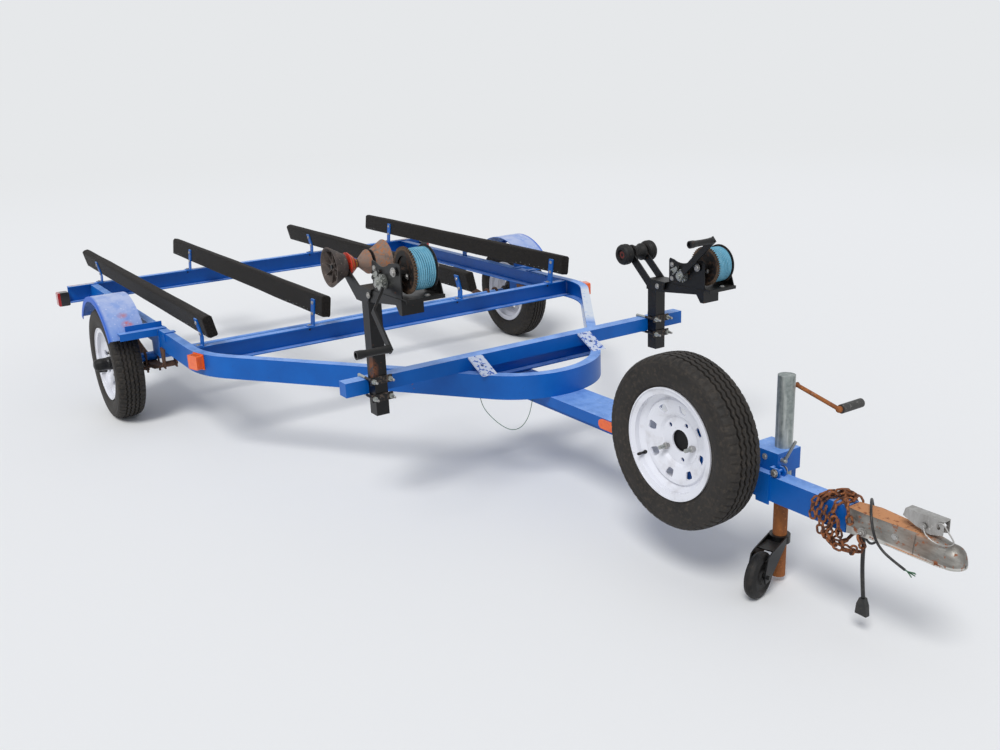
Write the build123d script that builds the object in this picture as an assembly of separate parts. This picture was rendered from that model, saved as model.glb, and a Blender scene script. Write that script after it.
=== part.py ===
from build123d import *
import os
from math import cos, sin, tan, pi, radians

os.makedirs("parts", exist_ok=True)

# Trailer for two small watercraft. X runs forward to the coupler, Y to the left, Z up from the
# floor, all in mm. Places along X are worked out from the wheel axis, and every node is then moved
# so that X = 0 is the middle of the whole length.
bunkRear = -1400                  # rear ends of the bunks
ballX = 3527                      # centre of the ball
ballR = 25.7
domeR = 34
midLength = (bunkRear + ballX + domeR) / 2

# Wheels: 12 inch disc wheels with narrow bias tyres
tyreR = 262
tyreHalfW = 62
beadR = 153
rimLipR = 170
rimHalfW = 55
boltCircleR = 114.3 / 2
lugR = 7
wheelY = 1122
axleZ = tyreR

# Frame channel, open side inwards
frameTop = 455
channelH = 89
flangeW = 38
wall = 5
frameBottom = frameTop - channelH
railY = 991                       # outer face of the bent front channel
railBendR = 400
diagAngle = 36                    # degrees that the front rails turn inwards
noseX = 2005                      # foremost point of the nose hoop
noseR = 312
bendX = 864                       # where the outer straight and diagonal lines would meet
sleeveX = 385                     # rear end of the bent channel, lapped over the side rail
rearBeamX = -1069
rearBeamHalf = 1103
lampEnd = 1163
frontBeamX = 694
noseBeamX = 1640

# Tongue, crossbar, coupler
tongueHalfW = 25.4
tongueH = 76
tongueRear = 1560
tongueFront = 3235
barRear = 1560
barFront = 2500
barH = 38
barW = 25
crossbarX = 1724.2
crossbarSide = 50.8
crossbarHalf = 767

# Axle and springs
springY = 967
springHalfLength = 330
springRise = 60
leafT = 6.5
axleR = 21
eyeZ = axleZ - axleR + springRise - 2
spindleR = 13
spindleGap = 0.05

# Bunks
bunkFront = 800
bunkT = 44
bunkH = 95
bunkTopZ = 592
bunkRows = [                      # name, centre y, lean of the top towards +Y in degrees
    ("bunk_outer_right", -905, -13),
    ("bunk_inner_right", -392, 7),
    ("bunk_inner_left", 350, -13),
    ("bunk_outer_left", 905, 7),
]

# Fenders
fenderR = 318
fenderSheet = 3
fenderY = (1036, 1196)
fenderFront, fenderBack = 31, 144 # degrees from +X round the axle

# Winch posts
postSide = 48
postRear = crossbarX + crossbarSide
postMidX = postRear + postSide / 2
postBottom = 385
headDepth = 38                    # side plates of the channel on top of a post
# side, centre y, height of the head, x of the drum, height of the roller, angle of the crank from
# straight up, offset of the crank's arm
postRows = [
    ("right", -657, 826, 2035, 889, 137, 100),
    ("left", 606, 666, 2060, 761, 48, 48),
]
drumUp = 88                       # drum axis above the head
gearTeeth, pinionTeeth = 48, 12
gearModule = 3.0
gearR = gearTeeth * gearModule / 2
pinionR = pinionTeeth * gearModule / 2
pinionAngle = 208                 # from the drum axis, degrees from +X towards +Z
gearY, gearW = 6, 8               # outer face of the toothed flange from the post's centre, and its width
drumW = 70                        # between the flanges
coreR = 32
ropeR = 68                        # outer turns of rope
drumShaftR = 8
crankShaftR = 9
ratchetTeeth, ratchetModule = 10, 4.4
rollerX = postMidX - 116
armY = {"right": (-28, 55), "left": (-36, 28)}    # inner faces of the roller's arms from the post's centre
armT = 6
bellL, knobL = 53, 42             # length of a bell and of a knob along the rod
crankR = 235
gripLength = 118
rollerRodR = 7

# Jack
jackX, jackY = 2948, 56
jackTop = 645
jackOuterR = 25
jackInnerR = 21
jackOuterBottom = 296
legBottom = 20
legTop = 495
casterArm = 125
casterR = 70
casterHalfW = 19
casterTurn = 15                   # degrees that the caster stands turned from -Y towards +X
collarZ = 130

# Spare wheel
spareX, spareZ = 2753, 442
spareY = -158

# Holes in the discs
lugAngle, ventAngle = 65, 31      # of the first hole, degrees from +X
ventR = (92, 116)                 # inner and outer edge of a hand hole
ventHalfW = (10, 16.5)

# Leads
plugLeadR = 5.5
plugLead = [(3222, 0, 322), (3244, 0, 321), (3263, 0, 309), (3273, 0, 287), (3276, 0, 262), (3275, 1, 215),
            (3280, 0, 160), (3286, 0, 112)]
plugSize = (36, 15, 50)
earthLeadR = 3.5
earthLead = [(3226, 12, 307), (3248, 13, 303), (3262, 18, 287), (3268, 22, 266), (3272, 36, 252),
             (3273, 56, 252), (3271, 70, 266), (3267, 69, 292), (3262, 60, 325), (3261, 49, 357),
             (3267, 34, 382), (3281, 12, 392), (3299, -13, 391), (3318, -38, 380), (3333, -50, 352),
             (3344, -50, 320), (3364, -47, 296), (3394, -45, 281), (3430, -43, 268)]
noseWireR = 1.25
noseWire = [(1819, -264, 365.4), (1823, -261, 334), (1838, -243, 296), (1863, -214, 258), (1890, -183, 234),
            (1915, -156, 243), (1934, -137, 279), (1945, -127, 322), (1950, -122, 365.4)]


def box(x0, x1, y0, y1, z0, z1):
    return Pos((x0 + x1) / 2, (y0 + y1) / 2, (z0 + z1) / 2) * Box(x1 - x0, y1 - y0, z1 - z0)


def cylY(x, z, y0, y1, r):
    return Pos(x, (y0 + y1) / 2, z) * (Rot(90, 0, 0) * Cylinder(r, y1 - y0))


def cylZ(x, y, z0, z1, r):
    return Pos(x, y, (z0 + z1) / 2) * Cylinder(r, z1 - z0)


def standUp(face, y0, y1):
    """A face drawn in XY, stood up in the XZ plane and given its thickness from y0 to y1."""
    return extrude(Plane((0, y0, 0), x_dir=(1, 0, 0), z_dir=(0, -1, 0)) * face, -(y1 - y0))


def plateYZ(points, x0, x1):
    face = make_face(Polyline([(y, z) for y, z in points], close=True))
    return extrude(Plane((x0, 0, 0), x_dir=(0, 1, 0), z_dir=(1, 0, 0)) * face, x1 - x0)


def plateXZ(points, y0, y1):
    """Flat plate with its outline in the XZ plane, from y0 to y1."""
    return standUp(make_face(Polyline([(x, z) for x, z in points], close=True)), y0, y1)


def plateXY(points, z0, z1):
    face = make_face(Polyline([(x, y) for x, y in points], close=True))
    return Pos(0, 0, z0) * extrude(face, z1 - z0)


def revolveY(points, x, y, z):
    """Solid of revolution about the Y direction; points are (radius, along Y)."""
    face = make_face(Polyline([(r, a) for r, a in points], close=True))
    return Pos(x, y, z) * revolve(face, axis=Axis.Y)


def between(a, b, lo, hi, z0, z1, sign):
    """Box from x a to b whose y runs from sign * lo to sign * hi."""
    return box(a, b, min(sign * lo, sign * hi), max(sign * lo, sign * hi), z0, z1)


def channelAcross(x, y0, y1, z0, z1, forward=1):
    """Channel bar along Y with its web at x and its flanges pointing forward."""
    outer = box(x, x + forward * flangeW, y0, y1, z0, z1)
    return outer - box(x + forward * wall, x + forward * (flangeW + 1), y0 - 1, y1 + 1, z0 + wall, z1 - wall)


def nosePath(inset):
    """Outer line of the bent front channel, moved in by inset: right side, round the nose, left."""
    a = radians(diagAngle)
    turn = tan(a / 2)
    ys = railY - inset
    bx = bendX - inset * turn
    rb = railBendR - inset
    tangent = rb * turn
    cx = noseX - noseR
    r = noseR - inset
    bendEnd = (bx + tangent * cos(a), ys - tangent * sin(a))
    arcStart = (cx + r * sin(a), r * cos(a))
    mid = (bx - tangent + rb * sin(a / 2), ys - rb * (1 - cos(a / 2)))
    half = [(sleeveX, ys), (bx - tangent, ys), mid, bendEnd, arcStart]
    return half, (cx + r, 0)


def nosePlate(inner, outer, z0, z1, side):
    """Part of the bent channel between two insets, as a flat plate: side -1, 1 or 0 for the nose."""
    h0, tip0 = nosePath(outer)
    h1, tip1 = nosePath(inner)
    if side:
        f = lambda p: (p[0], side * p[1])
        edges = [
            Line(f(h0[0]), f(h0[1])),
            ThreePointArc(f(h0[1]), f(h0[2]), f(h0[3])),
            Line(f(h0[3]), f(h0[4])),
            Line(f(h0[4]), f(h1[4])),
            Line(f(h1[4]), f(h1[3])),
            ThreePointArc(f(h1[3]), f(h1[2]), f(h1[1])),
            Line(f(h1[1]), f(h1[0])),
            Line(f(h1[0]), f(h0[0])),
        ]
    else:
        p0, p1 = h0[4], h1[4]
        edges = [
            ThreePointArc((p0[0], -p0[1]), tip0, p0),
            Line(p0, p1),
            ThreePointArc(p1, tip1, (p1[0], -p1[1])),
            Line((p1[0], -p1[1]), (p0[0], -p0[1])),
        ]
    return Pos(0, 0, z0) * extrude(make_face(Curve() + edges), z1 - z0)


def bentChannel(side):
    web = nosePlate(wall, 0, frameBottom, frameTop, side)
    top = nosePlate(flangeW, 0, frameTop - wall, frameTop, side)
    bottom = nosePlate(flangeW, 0, frameBottom, frameBottom + wall, side)
    channel = web + top + bottom
    if side:
        channel += between(sleeveX + 6, sleeveX + 36, railY - 46, railY + 5, frameTop, frameTop + 5, side)
        channel += between(sleeveX + 6, sleeveX + 36, railY, railY + 5, frameTop - 34, frameTop, side)
    return channel


def sideRail(side):
    y0 = side * (railY - wall)
    y1 = side * (railY - wall - flangeW)
    lo, hi = frameBottom + wall, frameTop - wall
    outer = box(rearBeamX + wall, 560, min(y0, y1), max(y0, y1), lo, hi)
    cut = side * (railY - 2 * wall)
    return outer - box(rearBeamX, 600, min(cut, y1 - side), max(cut, y1 - side), lo + wall, hi - wall)


def insideNose(z0, z1, inset=wall):
    """Everything inside the web of the bent channel and its straight continuation."""
    half, tip = nosePath(inset)
    left = [(p[0], p[1]) for p in half]
    right = [(p[0], -p[1]) for p in reversed(half)]
    edges = [
        Line((-1200, left[0][1]), left[1]),
        ThreePointArc(left[1], left[2], left[3]),
        Line(left[3], left[4]),
        ThreePointArc(left[4], tip, right[0]),
        Line(right[0], right[1]),
        ThreePointArc(right[1], right[2], right[3]),
        Line(right[3], (-1200, right[4][1])),
        Line((-1200, right[4][1]), (-1200, left[0][1])),
    ]
    return Pos(0, 0, z0) * extrude(make_face(Curve() + edges), z1 - z0)


def rim(x, y, z, face):
    """Disc wheel: barrel and dished disc with lug, hand and hub holes. face is the sign of its outer side."""
    w, f = rimHalfW, face
    barrel = [
        (rimLipR, -w), (rimLipR, -w + 6), (beadR + 1, -w + 9), (beadR, -w + 24), (136, -w + 38),
        (136, w - 38), (beadR, w - 24), (beadR + 1, w - 9), (rimLipR, w - 6), (rimLipR, w),
        (rimLipR - 4, w), (rimLipR - 4, w - 3), (beadR - 4, w - 6), (beadR - 4, w - 22), (132, w - 36),
        (132, -w + 36), (beadR - 4, -w + 22), (beadR - 4, -w + 6), (rimLipR - 4, -w + 3), (rimLipR - 4, -w),
    ]
    disc = [(33, 0), (74, 0), (78, 3), (83, 9), (88, 11), (116, 20), (125, 21), (129, 17), (129, 7), (133, 7),
            (133, 19), (127, 26), (116, 25), (88, 16), (80, 13), (72, 5), (33, 5)]
    wheel = revolveY(barrel, 0, 0, 0) + revolveY([(r, f * a) for r, a in disc], 0, 0, 0)
    for k in range(5):
        a = radians(lugAngle + 72 * k)
        wheel -= cylY(boltCircleR * cos(a), boltCircleR * sin(a), -40, 40, lugR)
    (r0, r1), (h0, h1) = ventR, ventHalfW
    corners = [(r0, -h0), (r0, h0), (r1, h1), (r1, -h1)]
    hole = make_face(Polyline(corners, close=True))
    hole = fillet(hole.vertices(), 6)
    for k in range(8):
        wheel -= standUp(Rot(0, 0, ventAngle + 45 * k) * hole, -40, 40)
    return Pos(x, y, z) * wheel


def tyre(x, y, z):
    r, h = tyreR, tyreHalfW
    outside = [
        (beadR + 0.4, 33), (beadR + 1.3, 45.4), (rimLipR + 0.6, 48.4), (rimLipR + 7, h - 5),
        (beadR + 54, h), (r - 26, h - 2), (r - 12, h - 9), (r - 3, h - 20),
    ]
    inside = [(r - 24, h - 17), (rimLipR + 12, h - 14), (rimLipR, 37)]
    mirrored = lambda points: [(q, -a) for q, a in reversed(points)]
    section = outside + [(r, 0)] + mirrored(outside) + mirrored(inside) + [(r - 12, 0)] + inside
    return revolveY(section, x, y, z)


def hub(side):
    """Hub with its flange against the disc, a long grease cap outside and five lug studs."""
    w = side * wheelY
    bore = spindleR + spindleGap
    body = [(bore, -62), (34, -62), (38, -30), (62, -12), (68, -12), (68, 0), (31, 0), (31, 40), (29, 46),
            (29, 74), (26, 94), (20, 102), (8, 105), (0, 105), (0, 56), (bore, 56)]
    shape = revolveY([(r, side * a) for r, a in body], 0, w, axleZ)
    for k in range(5):
        a = radians(lugAngle + 72 * k)
        x, z = boltCircleR * cos(a), axleZ + boltCircleR * sin(a)
        shape += cylY(x, z, min(w, w + side * 26), max(w, w + side * 26), 6)
    return shape


def axleBeam():
    beam = cylY(0, axleZ, -1045, 1045, axleR)
    return beam + cylY(0, axleZ, -1168, 1168, spindleR)


def leafSpring(side):
    """Three leaves under the axle, the longest on top and rolled into eyes, held by a plate and U-bolts."""
    y0, y1 = side * springY - 22, side * springY + 22
    top = axleZ - axleR
    shape = Part()
    for k, half in enumerate((springHalfLength, 235, 140)):
        rise = springRise * (half / springHalfLength) ** 2
        hi = top - leafT * k
        lo = hi - leafT
        lower = ThreePointArc((-half, lo + rise), (0, lo), (half, lo + rise))
        upper = ThreePointArc((half, hi + rise), (0, hi), (-half, hi + rise))
        ends = [Line((half, lo + rise), (half, hi + rise)), Line((-half, hi + rise), (-half, lo + rise))]
        shape += standUp(make_face(Curve() + [lower, ends[0], upper, ends[1]]), y0, y1)
    for end in (-1, 1):
        eye = cylY(end * (springHalfLength + 8), eyeZ, y0, y1, 13)
        shape += eye - cylY(end * (springHalfLength + 8), eyeZ, y0 - 1, y1 + 1, 7)
        x = end * (axleR + 6)
        for y in (y0 - 6, y1 + 6):
            shape += cylZ(x, y, top - 50, axleZ + 3, 5)
        shape += cylZ(x, y0 - 6, top - 38, top - 28, 9) + cylZ(x, y1 + 6, top - 38, top - 28, 9)
    for y in (y0 - 6, y1 + 6):
        bend = cylY(0, axleZ + 3, y - 5, y + 5, axleR + 11) - cylY(0, axleZ + 3, y - 6, y + 6, axleR + 1)
        shape += bend & box(-60, 60, y - 6, y + 6, axleZ + 3, axleZ + 60)
    return shape + box(-40, 40, y0 - 15, y1 + 15, top - 3 * leafT - 7, top - 3 * leafT)


def springHangers(side):
    """Two cheeks and a bolt at each end of a spring, hung from the side rail."""
    shapes = []
    top = frameBottom + wall
    for end in (-1, 1):
        x = end * (springHalfLength + 8)
        y = side * springY
        xFront = min(x + 32, sleeveX)
        cheeks = Part()
        for s in (-1, 1):
            y0 = y + s * 23
            y1 = y + s * 28
            outline = [(x - 32, top), (xFront, top), (xFront, frameBottom), (x + 17, eyeZ - 17),
                       (x - 17, eyeZ - 17)]
            cheeks += plateXZ(outline, min(y0, y1), max(y0, y1))
        cheeks += cylY(x, eyeZ, y - 34, y + 34, 6.9) + box(x - 32, xFront, y - 28, y + 28, top - 5, top)
        shapes.append(cheeks)
    return shapes


def fender(side):
    """Rounded sheet fender with a turned-down outer edge."""
    r, t = fenderR, fenderSheet
    lo, hi = sorted((side * fenderY[0], side * fenderY[1]))
    ring = cylY(0, axleZ, lo, hi, r) - cylY(0, axleZ, lo - 1, hi + 1, r - t)
    lip0, lip1 = (hi - t, hi) if side > 0 else (lo, lo + t)
    ring += cylY(0, axleZ, lip0, lip1, r) - cylY(0, axleZ, lip0 - 1, lip1 + 1, r - 22)
    a0, a1 = radians(fenderFront), radians(fenderBack)
    far = 700
    wedge = [(0, 0), (far * cos(a0), far * sin(a0)), (far, far), (-far, far), (far * cos(a1), far * sin(a1))]
    return ring & plateXZ([(x, z + axleZ) for x, z in wedge], lo - 5, hi + 5)


def fenderBrackets(side):
    """Angle and gusset plate in front of the fender, and a flat bar with its post behind."""
    z = frameTop - wall + 0.2
    front = between(257, 297, 950, 1155, z, z + 5, side) + between(292, 297, railY + 1, 1155, z - 26, z, side)
    front += between(257, 262, 960, 1120, z, z + 30, side)
    gusset = between(170, 300, railY - wall, railY, frameBottom - 48, frameTop - wall, side)
    b = radians(fenderBack - 6)
    xr, zr = (fenderR + 0.3) * cos(b), axleZ + (fenderR + 0.3) * sin(b)
    rear = between(xr - 45, xr - 5, railY - 30, 1180, zr - 5, zr, side)
    rear += between(xr - 45, xr - 5, railY - 30, railY - 25, frameTop - wall, zr - 5, side)
    return [front, gusset, rear]


def tailLight(side):
    """Lamp on the end of the rear crossmember, its lens outwards and to the rear."""
    lamp = between(rearBeamX - 26, rearBeamX + 26, rearBeamHalf, lampEnd, 352, 426, side)
    return fillet(lamp.edges().filter_by(Axis.X), 8)


def sideMarkers(side):
    """Square marker on the bend of a front rail, and an oblong reflector on the tongue's side bar."""
    a = radians(diagAngle * 0.42)
    rise = railBendR * (1 - cos(a))
    x = bendX - railBendR * tan(radians(diagAngle / 2)) + railBendR * sin(a)
    lens = Pos(0, -18, 0) * fillet(Box(64, 30, 58).edges().filter_by(Axis.Y), 6)
    lens += Pos(0, -2.2, 0) * Box(70, 4, 64)
    marker = Pos(x, -(railY - rise), 423) * (Rot(0, 0, diagAngle * 0.42) * lens)
    bar = tongueHalfW + 2 * (barW + 0.2)
    pill = standUp(Pos(2330, frameBottom - barH / 2) * SlotOverall(112, 33), -bar - 7, -bar)
    shape = marker + pill
    return shape if side < 0 else mirror(shape, about=Plane.XZ)


def bunk(yMid, lean):
    board = Box(bunkFront - bunkRear, bunkT, bunkH)
    board = fillet(board.edges().filter_by(Axis.X), 7)
    z = bunkTopZ - bunkH / 2
    return Pos((bunkFront + bunkRear) / 2, yMid, z) * (Rot(-lean, 0, 0) * board)


def bunkBracket(beamX, yMid, lean):
    """Tapered upright against the -Y face of a bunk, on a foot that sits on the crossmember."""
    x0 = beamX + 2
    t = radians(lean)
    faceY = yMid - bunkT / 2 / cos(t) - 0.4
    zTop = bunkTopZ - 24
    zMid = bunkTopZ - bunkH / 2
    yTop = faceY + tan(t) * (zTop - zMid)
    yLow = faceY + tan(t) * (490 - zMid)
    seat = frameTop - wall if beamX > 0 else frameTop
    outline = [(yTop, zTop), (yLow, 490), (yLow - 3, seat), (yLow - 9, seat), (yLow - 6, 490),
               (yTop - 6, zTop)]
    plate = make_face(Polyline(outline, close=True))
    upright = extrude(Plane((x0, 0, 0), x_dir=(0, 1, 0), z_dir=(1, 0, 0)) * plate, 34)
    foot = box(x0, x0 + 34, yLow - 34, yLow - 3, seat, seat + 5)
    return upright + foot


def winchPost(yMid, top, drumX):
    """Square post with a channel on its top that reaches forward, and a folded box under its front end."""
    h = postSide / 2
    post = box(postRear, postRear + postSide, yMid - h, yMid + h, postBottom, top)
    post -= box(postRear + 3, postRear + postSide - 3, yMid - h + 3, yMid + h - 3, postBottom - 1, top - 3)
    front = drumX + 24
    head = box(postRear - 4, front, yMid - h - 4, yMid + h + 4, top, top + 4)
    knee = postRear + postSide + 34
    outline = [(postRear - 4, top), (front, top), (front, top - 14), (knee, top - headDepth),
               (postRear - 4, top - headDepth)]
    head += plateXZ(outline, yMid - h - 4, yMid - h - 0.3) + plateXZ(outline, yMid + h + 0.3, yMid + h + 4)
    near, far = yMid - 28, yMid + 50
    cheek = [(drumX - 15, top + 4), (drumX + 32, top + 4), (drumX + 32, top - 46), (drumX + 15, top - 46),
             (drumX - 15, top - 8)]
    head += plateXZ(cheek, near, near + 4) + plateXZ(cheek, far - 4, far)
    return post + head + box(drumX + 28, drumX + 32, near, far, top - 46, top + 4)


def postClamps(yMid):
    """Two square U-bolts hooked round the crossbar, with a plate across the post above and one below."""
    front = postRear + postSide
    shape = Part()
    zs = (frameTop - 5.3, frameTop + crossbarSide + 5.3)
    back = crossbarX - 5.3
    for z in zs:
        shape += box(front + 0.3, front + 6, yMid - 40, yMid + 40, z - 13, z + 13)
        for s in (-1, 1):
            y = yMid + s * 31
            leg = front + 26 - back
            shape += Pos(back + leg / 2, y, z) * (Rot(0, 90, 0) * Cylinder(5, leg))
            nut = extrude(RegularPolygon(9, 6), 8)
            shape += Pos(front + 6, y, z) * (Rot(0, 90, 0) * nut)
            shape += Pos(back, y, z) * Sphere(5)
    for s in (-1, 1):
        shape += cylZ(back, yMid + s * 31, zs[0], zs[1], 5)
    return shape


def pinionPlace(top, drumX):
    """Centre of the crank's pinion, in mesh with the drum's gear."""
    a = radians(pinionAngle)
    reach = gearR + pinionR
    return drumX + reach * cos(a), top + drumUp + reach * sin(a)


def winchFrame(yMid, top, drumX):
    """Folded frame: base and two cheeks that carry the drum and crank shafts, with the ratchet's pawl."""
    base, axis = top + 4, top + drumUp
    x0, x1 = drumX - 160, drumX + 62
    y0, y1 = yMid - 26, yMid + 112
    px, pz = pinionPlace(top, drumX)
    shape = box(x0, x1, y0, y1, base, base + 4) + box(x1 - 4, x1, y0, y1, base - 8, base)
    cheek = [(-160, base - axis), (32, base - axis), (32, 20), (22, 28), (-30, 22), (-46, 19), (-140, 14),
             (-155, 17), (-160, 10)]
    shape += plateXZ([(drumX + u, axis + w) for u, w in cheek], y0, y0 + 4)
    shape -= cylY(drumX - 93, axis + 102, y0 - 1, y0 + 5, 98)
    far = [(drumX - 70, base), (x1 - 8, base), (drumX + 20, axis + 10), (drumX + 10, axis + 18),
           (drumX - 10, axis + 18), (drumX - 22, axis + 8)]
    shape += plateXZ(far, y1 - 4, y1)
    shape -= cylY(px, pz, y0 - 1, y0 + 5, crankShaftR + 0.05)
    pawl = [(-64, 2), (-60, 18), (-24, 36), (-19, 29), (-30, 12), (-48, -2)]
    shape += plateXZ([(px + u, pz + w) for u, w in pawl], y0 - 11, y0)
    shape += cylY(px - 52, pz + 8, y0 - 15, y0, 7)
    return shape + cylY(drumX, axis, y0 - 7, y1 + 7, drumShaftR)


def spurGear(teeth, module, width):
    """Straight-sided spur gear about Y, first tooth on +X, from y = 0 to y = width."""
    r = teeth * module / 2
    tip, root = r + 0.9 * module, r - 1.15 * module
    pitch = 2 * pi / teeth
    points = []
    for k in range(teeth):
        for radius, share in ((root, -0.33), (tip, -0.13), (tip, 0.13), (root, 0.33)):
            a = (k + share) * pitch
            points.append((radius * cos(a), radius * sin(a)))
    return plateXZ(points, 0, width)


def winchDrum(yMid, top, drumX):
    """Drum with a toothed flange, recessed round its boss, and a plain flange."""
    y, z = yMid + gearY, top + drumUp
    shape = Pos(drumX, y, z) * spurGear(gearTeeth, gearModule, gearW)
    shape -= cylY(drumX, z, y - 1, y + 5, 46)
    w = gearW + drumW
    profile = [(0, -22), (13, -22), (15, 5), (46, 5), (46, gearW), (coreR, gearW), (coreR, w), (74, w),
               (74, w + 2), (72, w + 5), (26, w + 5), (18, w + 20), (0, w + 20)]
    shape += revolveY(profile, drumX, y, z)
    return shape - cylY(drumX, z, y - 25, y + 110, drumShaftR + 0.05)


def winchRope(yMid, top, drumX):
    """The rope wound on the drum, as the ring that it fills."""
    y0 = yMid + gearY + gearW
    return revolveY([(coreR, 0), (ropeR, 0), (ropeR, drumW), (coreR, drumW)], drumX, y0, top + drumUp)


def winchCrank(yMid, top, drumX, angle, offset):
    """Pinion, shaft and ratchet wheel, a strap bent out past the bow roller by offset, and a waisted grip."""
    px, pz = pinionPlace(top, drumX)
    phase = pinionAngle + 180
    slip = (pinionAngle / (360 / gearTeeth) % 1) * (360 / pinionTeeth)
    pinion = spurGear(pinionTeeth, gearModule, 12)
    turn = -(phase + 180 / pinionTeeth + slip)
    shape = Pos(px, yMid + 4, pz) * (Rot(0, turn, 0) * pinion)
    shape += cylY(px, pz, yMid - 58, yMid + 20, crankShaftR)
    shape += Pos(px, yMid - 38, pz) * spurGear(ratchetTeeth, ratchetModule, 6)
    a = radians(angle)
    outline = [(-14, -44), (34, -44), (100, -offset), (crankR + 12, -offset), (crankR + 12, -offset - 7),
               (96, -offset - 7), (30, -51), (-14, -51)]
    strap = make_face(Polyline(outline, close=True))
    plane = Plane((px, yMid, pz), x_dir=(sin(a), 0, cos(a)), z_dir=(-cos(a), 0, sin(a)))
    shape += extrude(plane * strap, 12, both=True)
    shape += cylY(px, pz, yMid - 51, yMid - 44, 16)
    ex, ez = px + crankR * sin(a), pz + crankR * cos(a)
    n = -gripLength
    grip = [(0, -3), (13.5, -3), (13.5, -14), (12, -26), (11.5, n / 2), (12, n + 30), (14, n + 16), (14, n),
            (9, n), (9, n + 6), (0, n + 6)]
    return shape + revolveY(grip, ex, yMid - offset, ez)


def rollerArms(side, yMid, top, zr):
    """Plate on the head whose two sides reach back as arms to the bow roller's rod."""
    if side == "right":
        knee, front = 1780, 1872
        near = [(front - 36, top - 44), (1757, top - 43), (rollerX - 1, top + 17)]
        far = [(front, top - 6), (knee - 8, top - 6), (rollerX - 6, zr - 30)]
    else:
        knee, front = 1808, 1895
        near = [(front - 15, top - 28), (knee - 8, top - 32)]
        far = [(front, top - 6), (knee - 33, top - 6)]
    shared = [(rollerX - 15, zr - 9), (rollerX + 8, zr + 16), (knee, top + 8), (front, top + 8)]
    if side == "right":
        shared.insert(2, (rollerX + 17, zr - 8))
    y0, y1 = armY[side]
    length = bellL if side == "right" else knobL
    shape = cylY(rollerX, zr, yMid + y0 - armT - 3 - length * 0.85, yMid + y1 + armT + 3 + length * 0.85, rollerRodR)
    shape += plateXZ(shared + near, yMid + y0 - armT, yMid + y0)
    shape += plateXZ(shared + far, yMid + y1, yMid + y1 + armT)
    shape += cylY(rollerX, zr, yMid + y0 - armT, yMid + y0, 18) + cylY(rollerX, zr, yMid + y1, yMid + y1 + armT, 18)
    return shape + box(knee, front, yMid + y0 - 1, yMid + y1 + 1, top + 4, top + 8)


def bowRoller(side, yMid, z):
    """Waisted spool between the arms, with a ribbed bell or a grooved knob outside each arm."""
    bore = rollerRodR + 0.05
    y0, y1 = armY[side]
    w = (y1 - y0) / 2 - 2
    if side == "right":
        spool = [(bore, -w), (42, -w), (41, -w + 5), (15, -4), (15, 4), (41, w - 5), (42, w), (bore, w)]
        outer = [(bore, 0), (40, 0), (43, 8), (68, bellL), (63, bellL), (38, 10), (30, 6), (14, 6), (14, 40),
                 (bore, 40)]
    else:
        spool = [(bore, -w), (34, -w), (35, -w + 8), (28, -8), (28, 8), (35, w - 8), (34, w), (bore, w)]
        outer = [(bore, 0), (30, 0), (38, 4), (41, 9), (39.5, 12), (42, 15), (40.5, 18), (42, 22), (40.5, 25),
                 (42, 29), (40, 35), (34, 41), (22, knobL), (20, 35), (bore, 35)]
    end = revolveY(outer, 0, 0, 0)
    if side == "right":
        webs = revolveY([(13, 5), (38, 8), (59, 44), (13, 38)], 0, 0, 0)
        for k in range(4):
            end += webs & (Rot(0, 45 * k + 10, 0) * Box(3, 240, 140))
    parts = Pos(0, (y0 + y1) / 2, 0) * revolveY(spool, 0, 0, 0)
    parts += Pos(0, y1 + armT + 3, 0) * end + Pos(0, y0 - armT - 3, 0) * mirror(end, about=Plane.XZ)
    return Pos(rollerX, yMid, z) * parts


def trough(sections, inset):
    """Ruled body through trapezium sections, or its hollow inside, which is open below."""
    faces = []
    drop = 12 if inset else 0
    for x, topHalf, lowHalf, z0, z1 in sections:
        points = [(-lowHalf + inset, z0 - drop), (lowHalf - inset, z0 - drop), (topHalf - inset, z1 - inset),
                  (-topHalf + inset, z1 - inset)]
        plane = Plane((x, 0, 0), x_dir=(0, 1, 0), z_dir=(1, 0, 0))
        faces.append(plane * make_face(Polyline(points, close=True)))
    return loft(faces, ruled=True)


def couplerBody():
    """Pressed coupler: a tail bolted inside the tongue, a trough that narrows on top, and the ball dome."""
    low, high = frameBottom - tongueH, frameBottom
    tail = box(3150, 3240, -22, 22, low + 3.4, high - 3.4) - box(3140, 3250, -19, 19, low, high - 6.6)
    sections = [                  # x, half width on top and below, lowest and highest z
        (3238, 25.4, 25.4, 292, 366), (3300, 33, 33, 303, 369),
        (3440, 22, 34, 309, 367), (3500, 20, 34, 309, 358),
    ]
    dome = Pos(ballX, 0, 330) * Sphere(domeR - 3) + cylZ(ballX, 0, 308, 330, domeR - 3)
    edge = [(3360, 34), (3400, 38), (3505, 38), (ballX, domeR)]
    lip = plateXY(edge + [(x, -y) for x, y in reversed(edge)], 308, 311) + cylZ(ballX, 0, 308, 311, domeR)
    outside = trough(sections, 0) + dome + lip
    hollow = trough(sections, 3.2) & box(3200, 3470, -60, 60, 250, 400)
    body = outside - hollow - box(3230, ballX + 60, -60, 60, 200, 292)
    body -= box(ballX - 60, ballX + 60, -60, 60, 250, 308)
    body -= cylZ(ballX, 0, 300, 330, ballR)
    return tail + (body - Pos(ballX, 0, 330) * Sphere(ballR))


def couplerLatch():
    """Folded lever over the neck of the coupler, on a pin through its two walls."""
    outline = [(3392, 396), (3398, 417), (3503, 417), (3503, 380), (3470, 371), (3430, 380)]
    lever = plateXZ(outline, -14, 14) - plateXZ([(x, z - 3) for x, z in outline], -11.5, 11.5)
    lever -= cylY(3490, 397, -20, 20, 5)
    return lever + cylY(3452, 388, -18, 18, 5) + box(3443, 3461, -9, 9, 366.8, 392)


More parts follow.
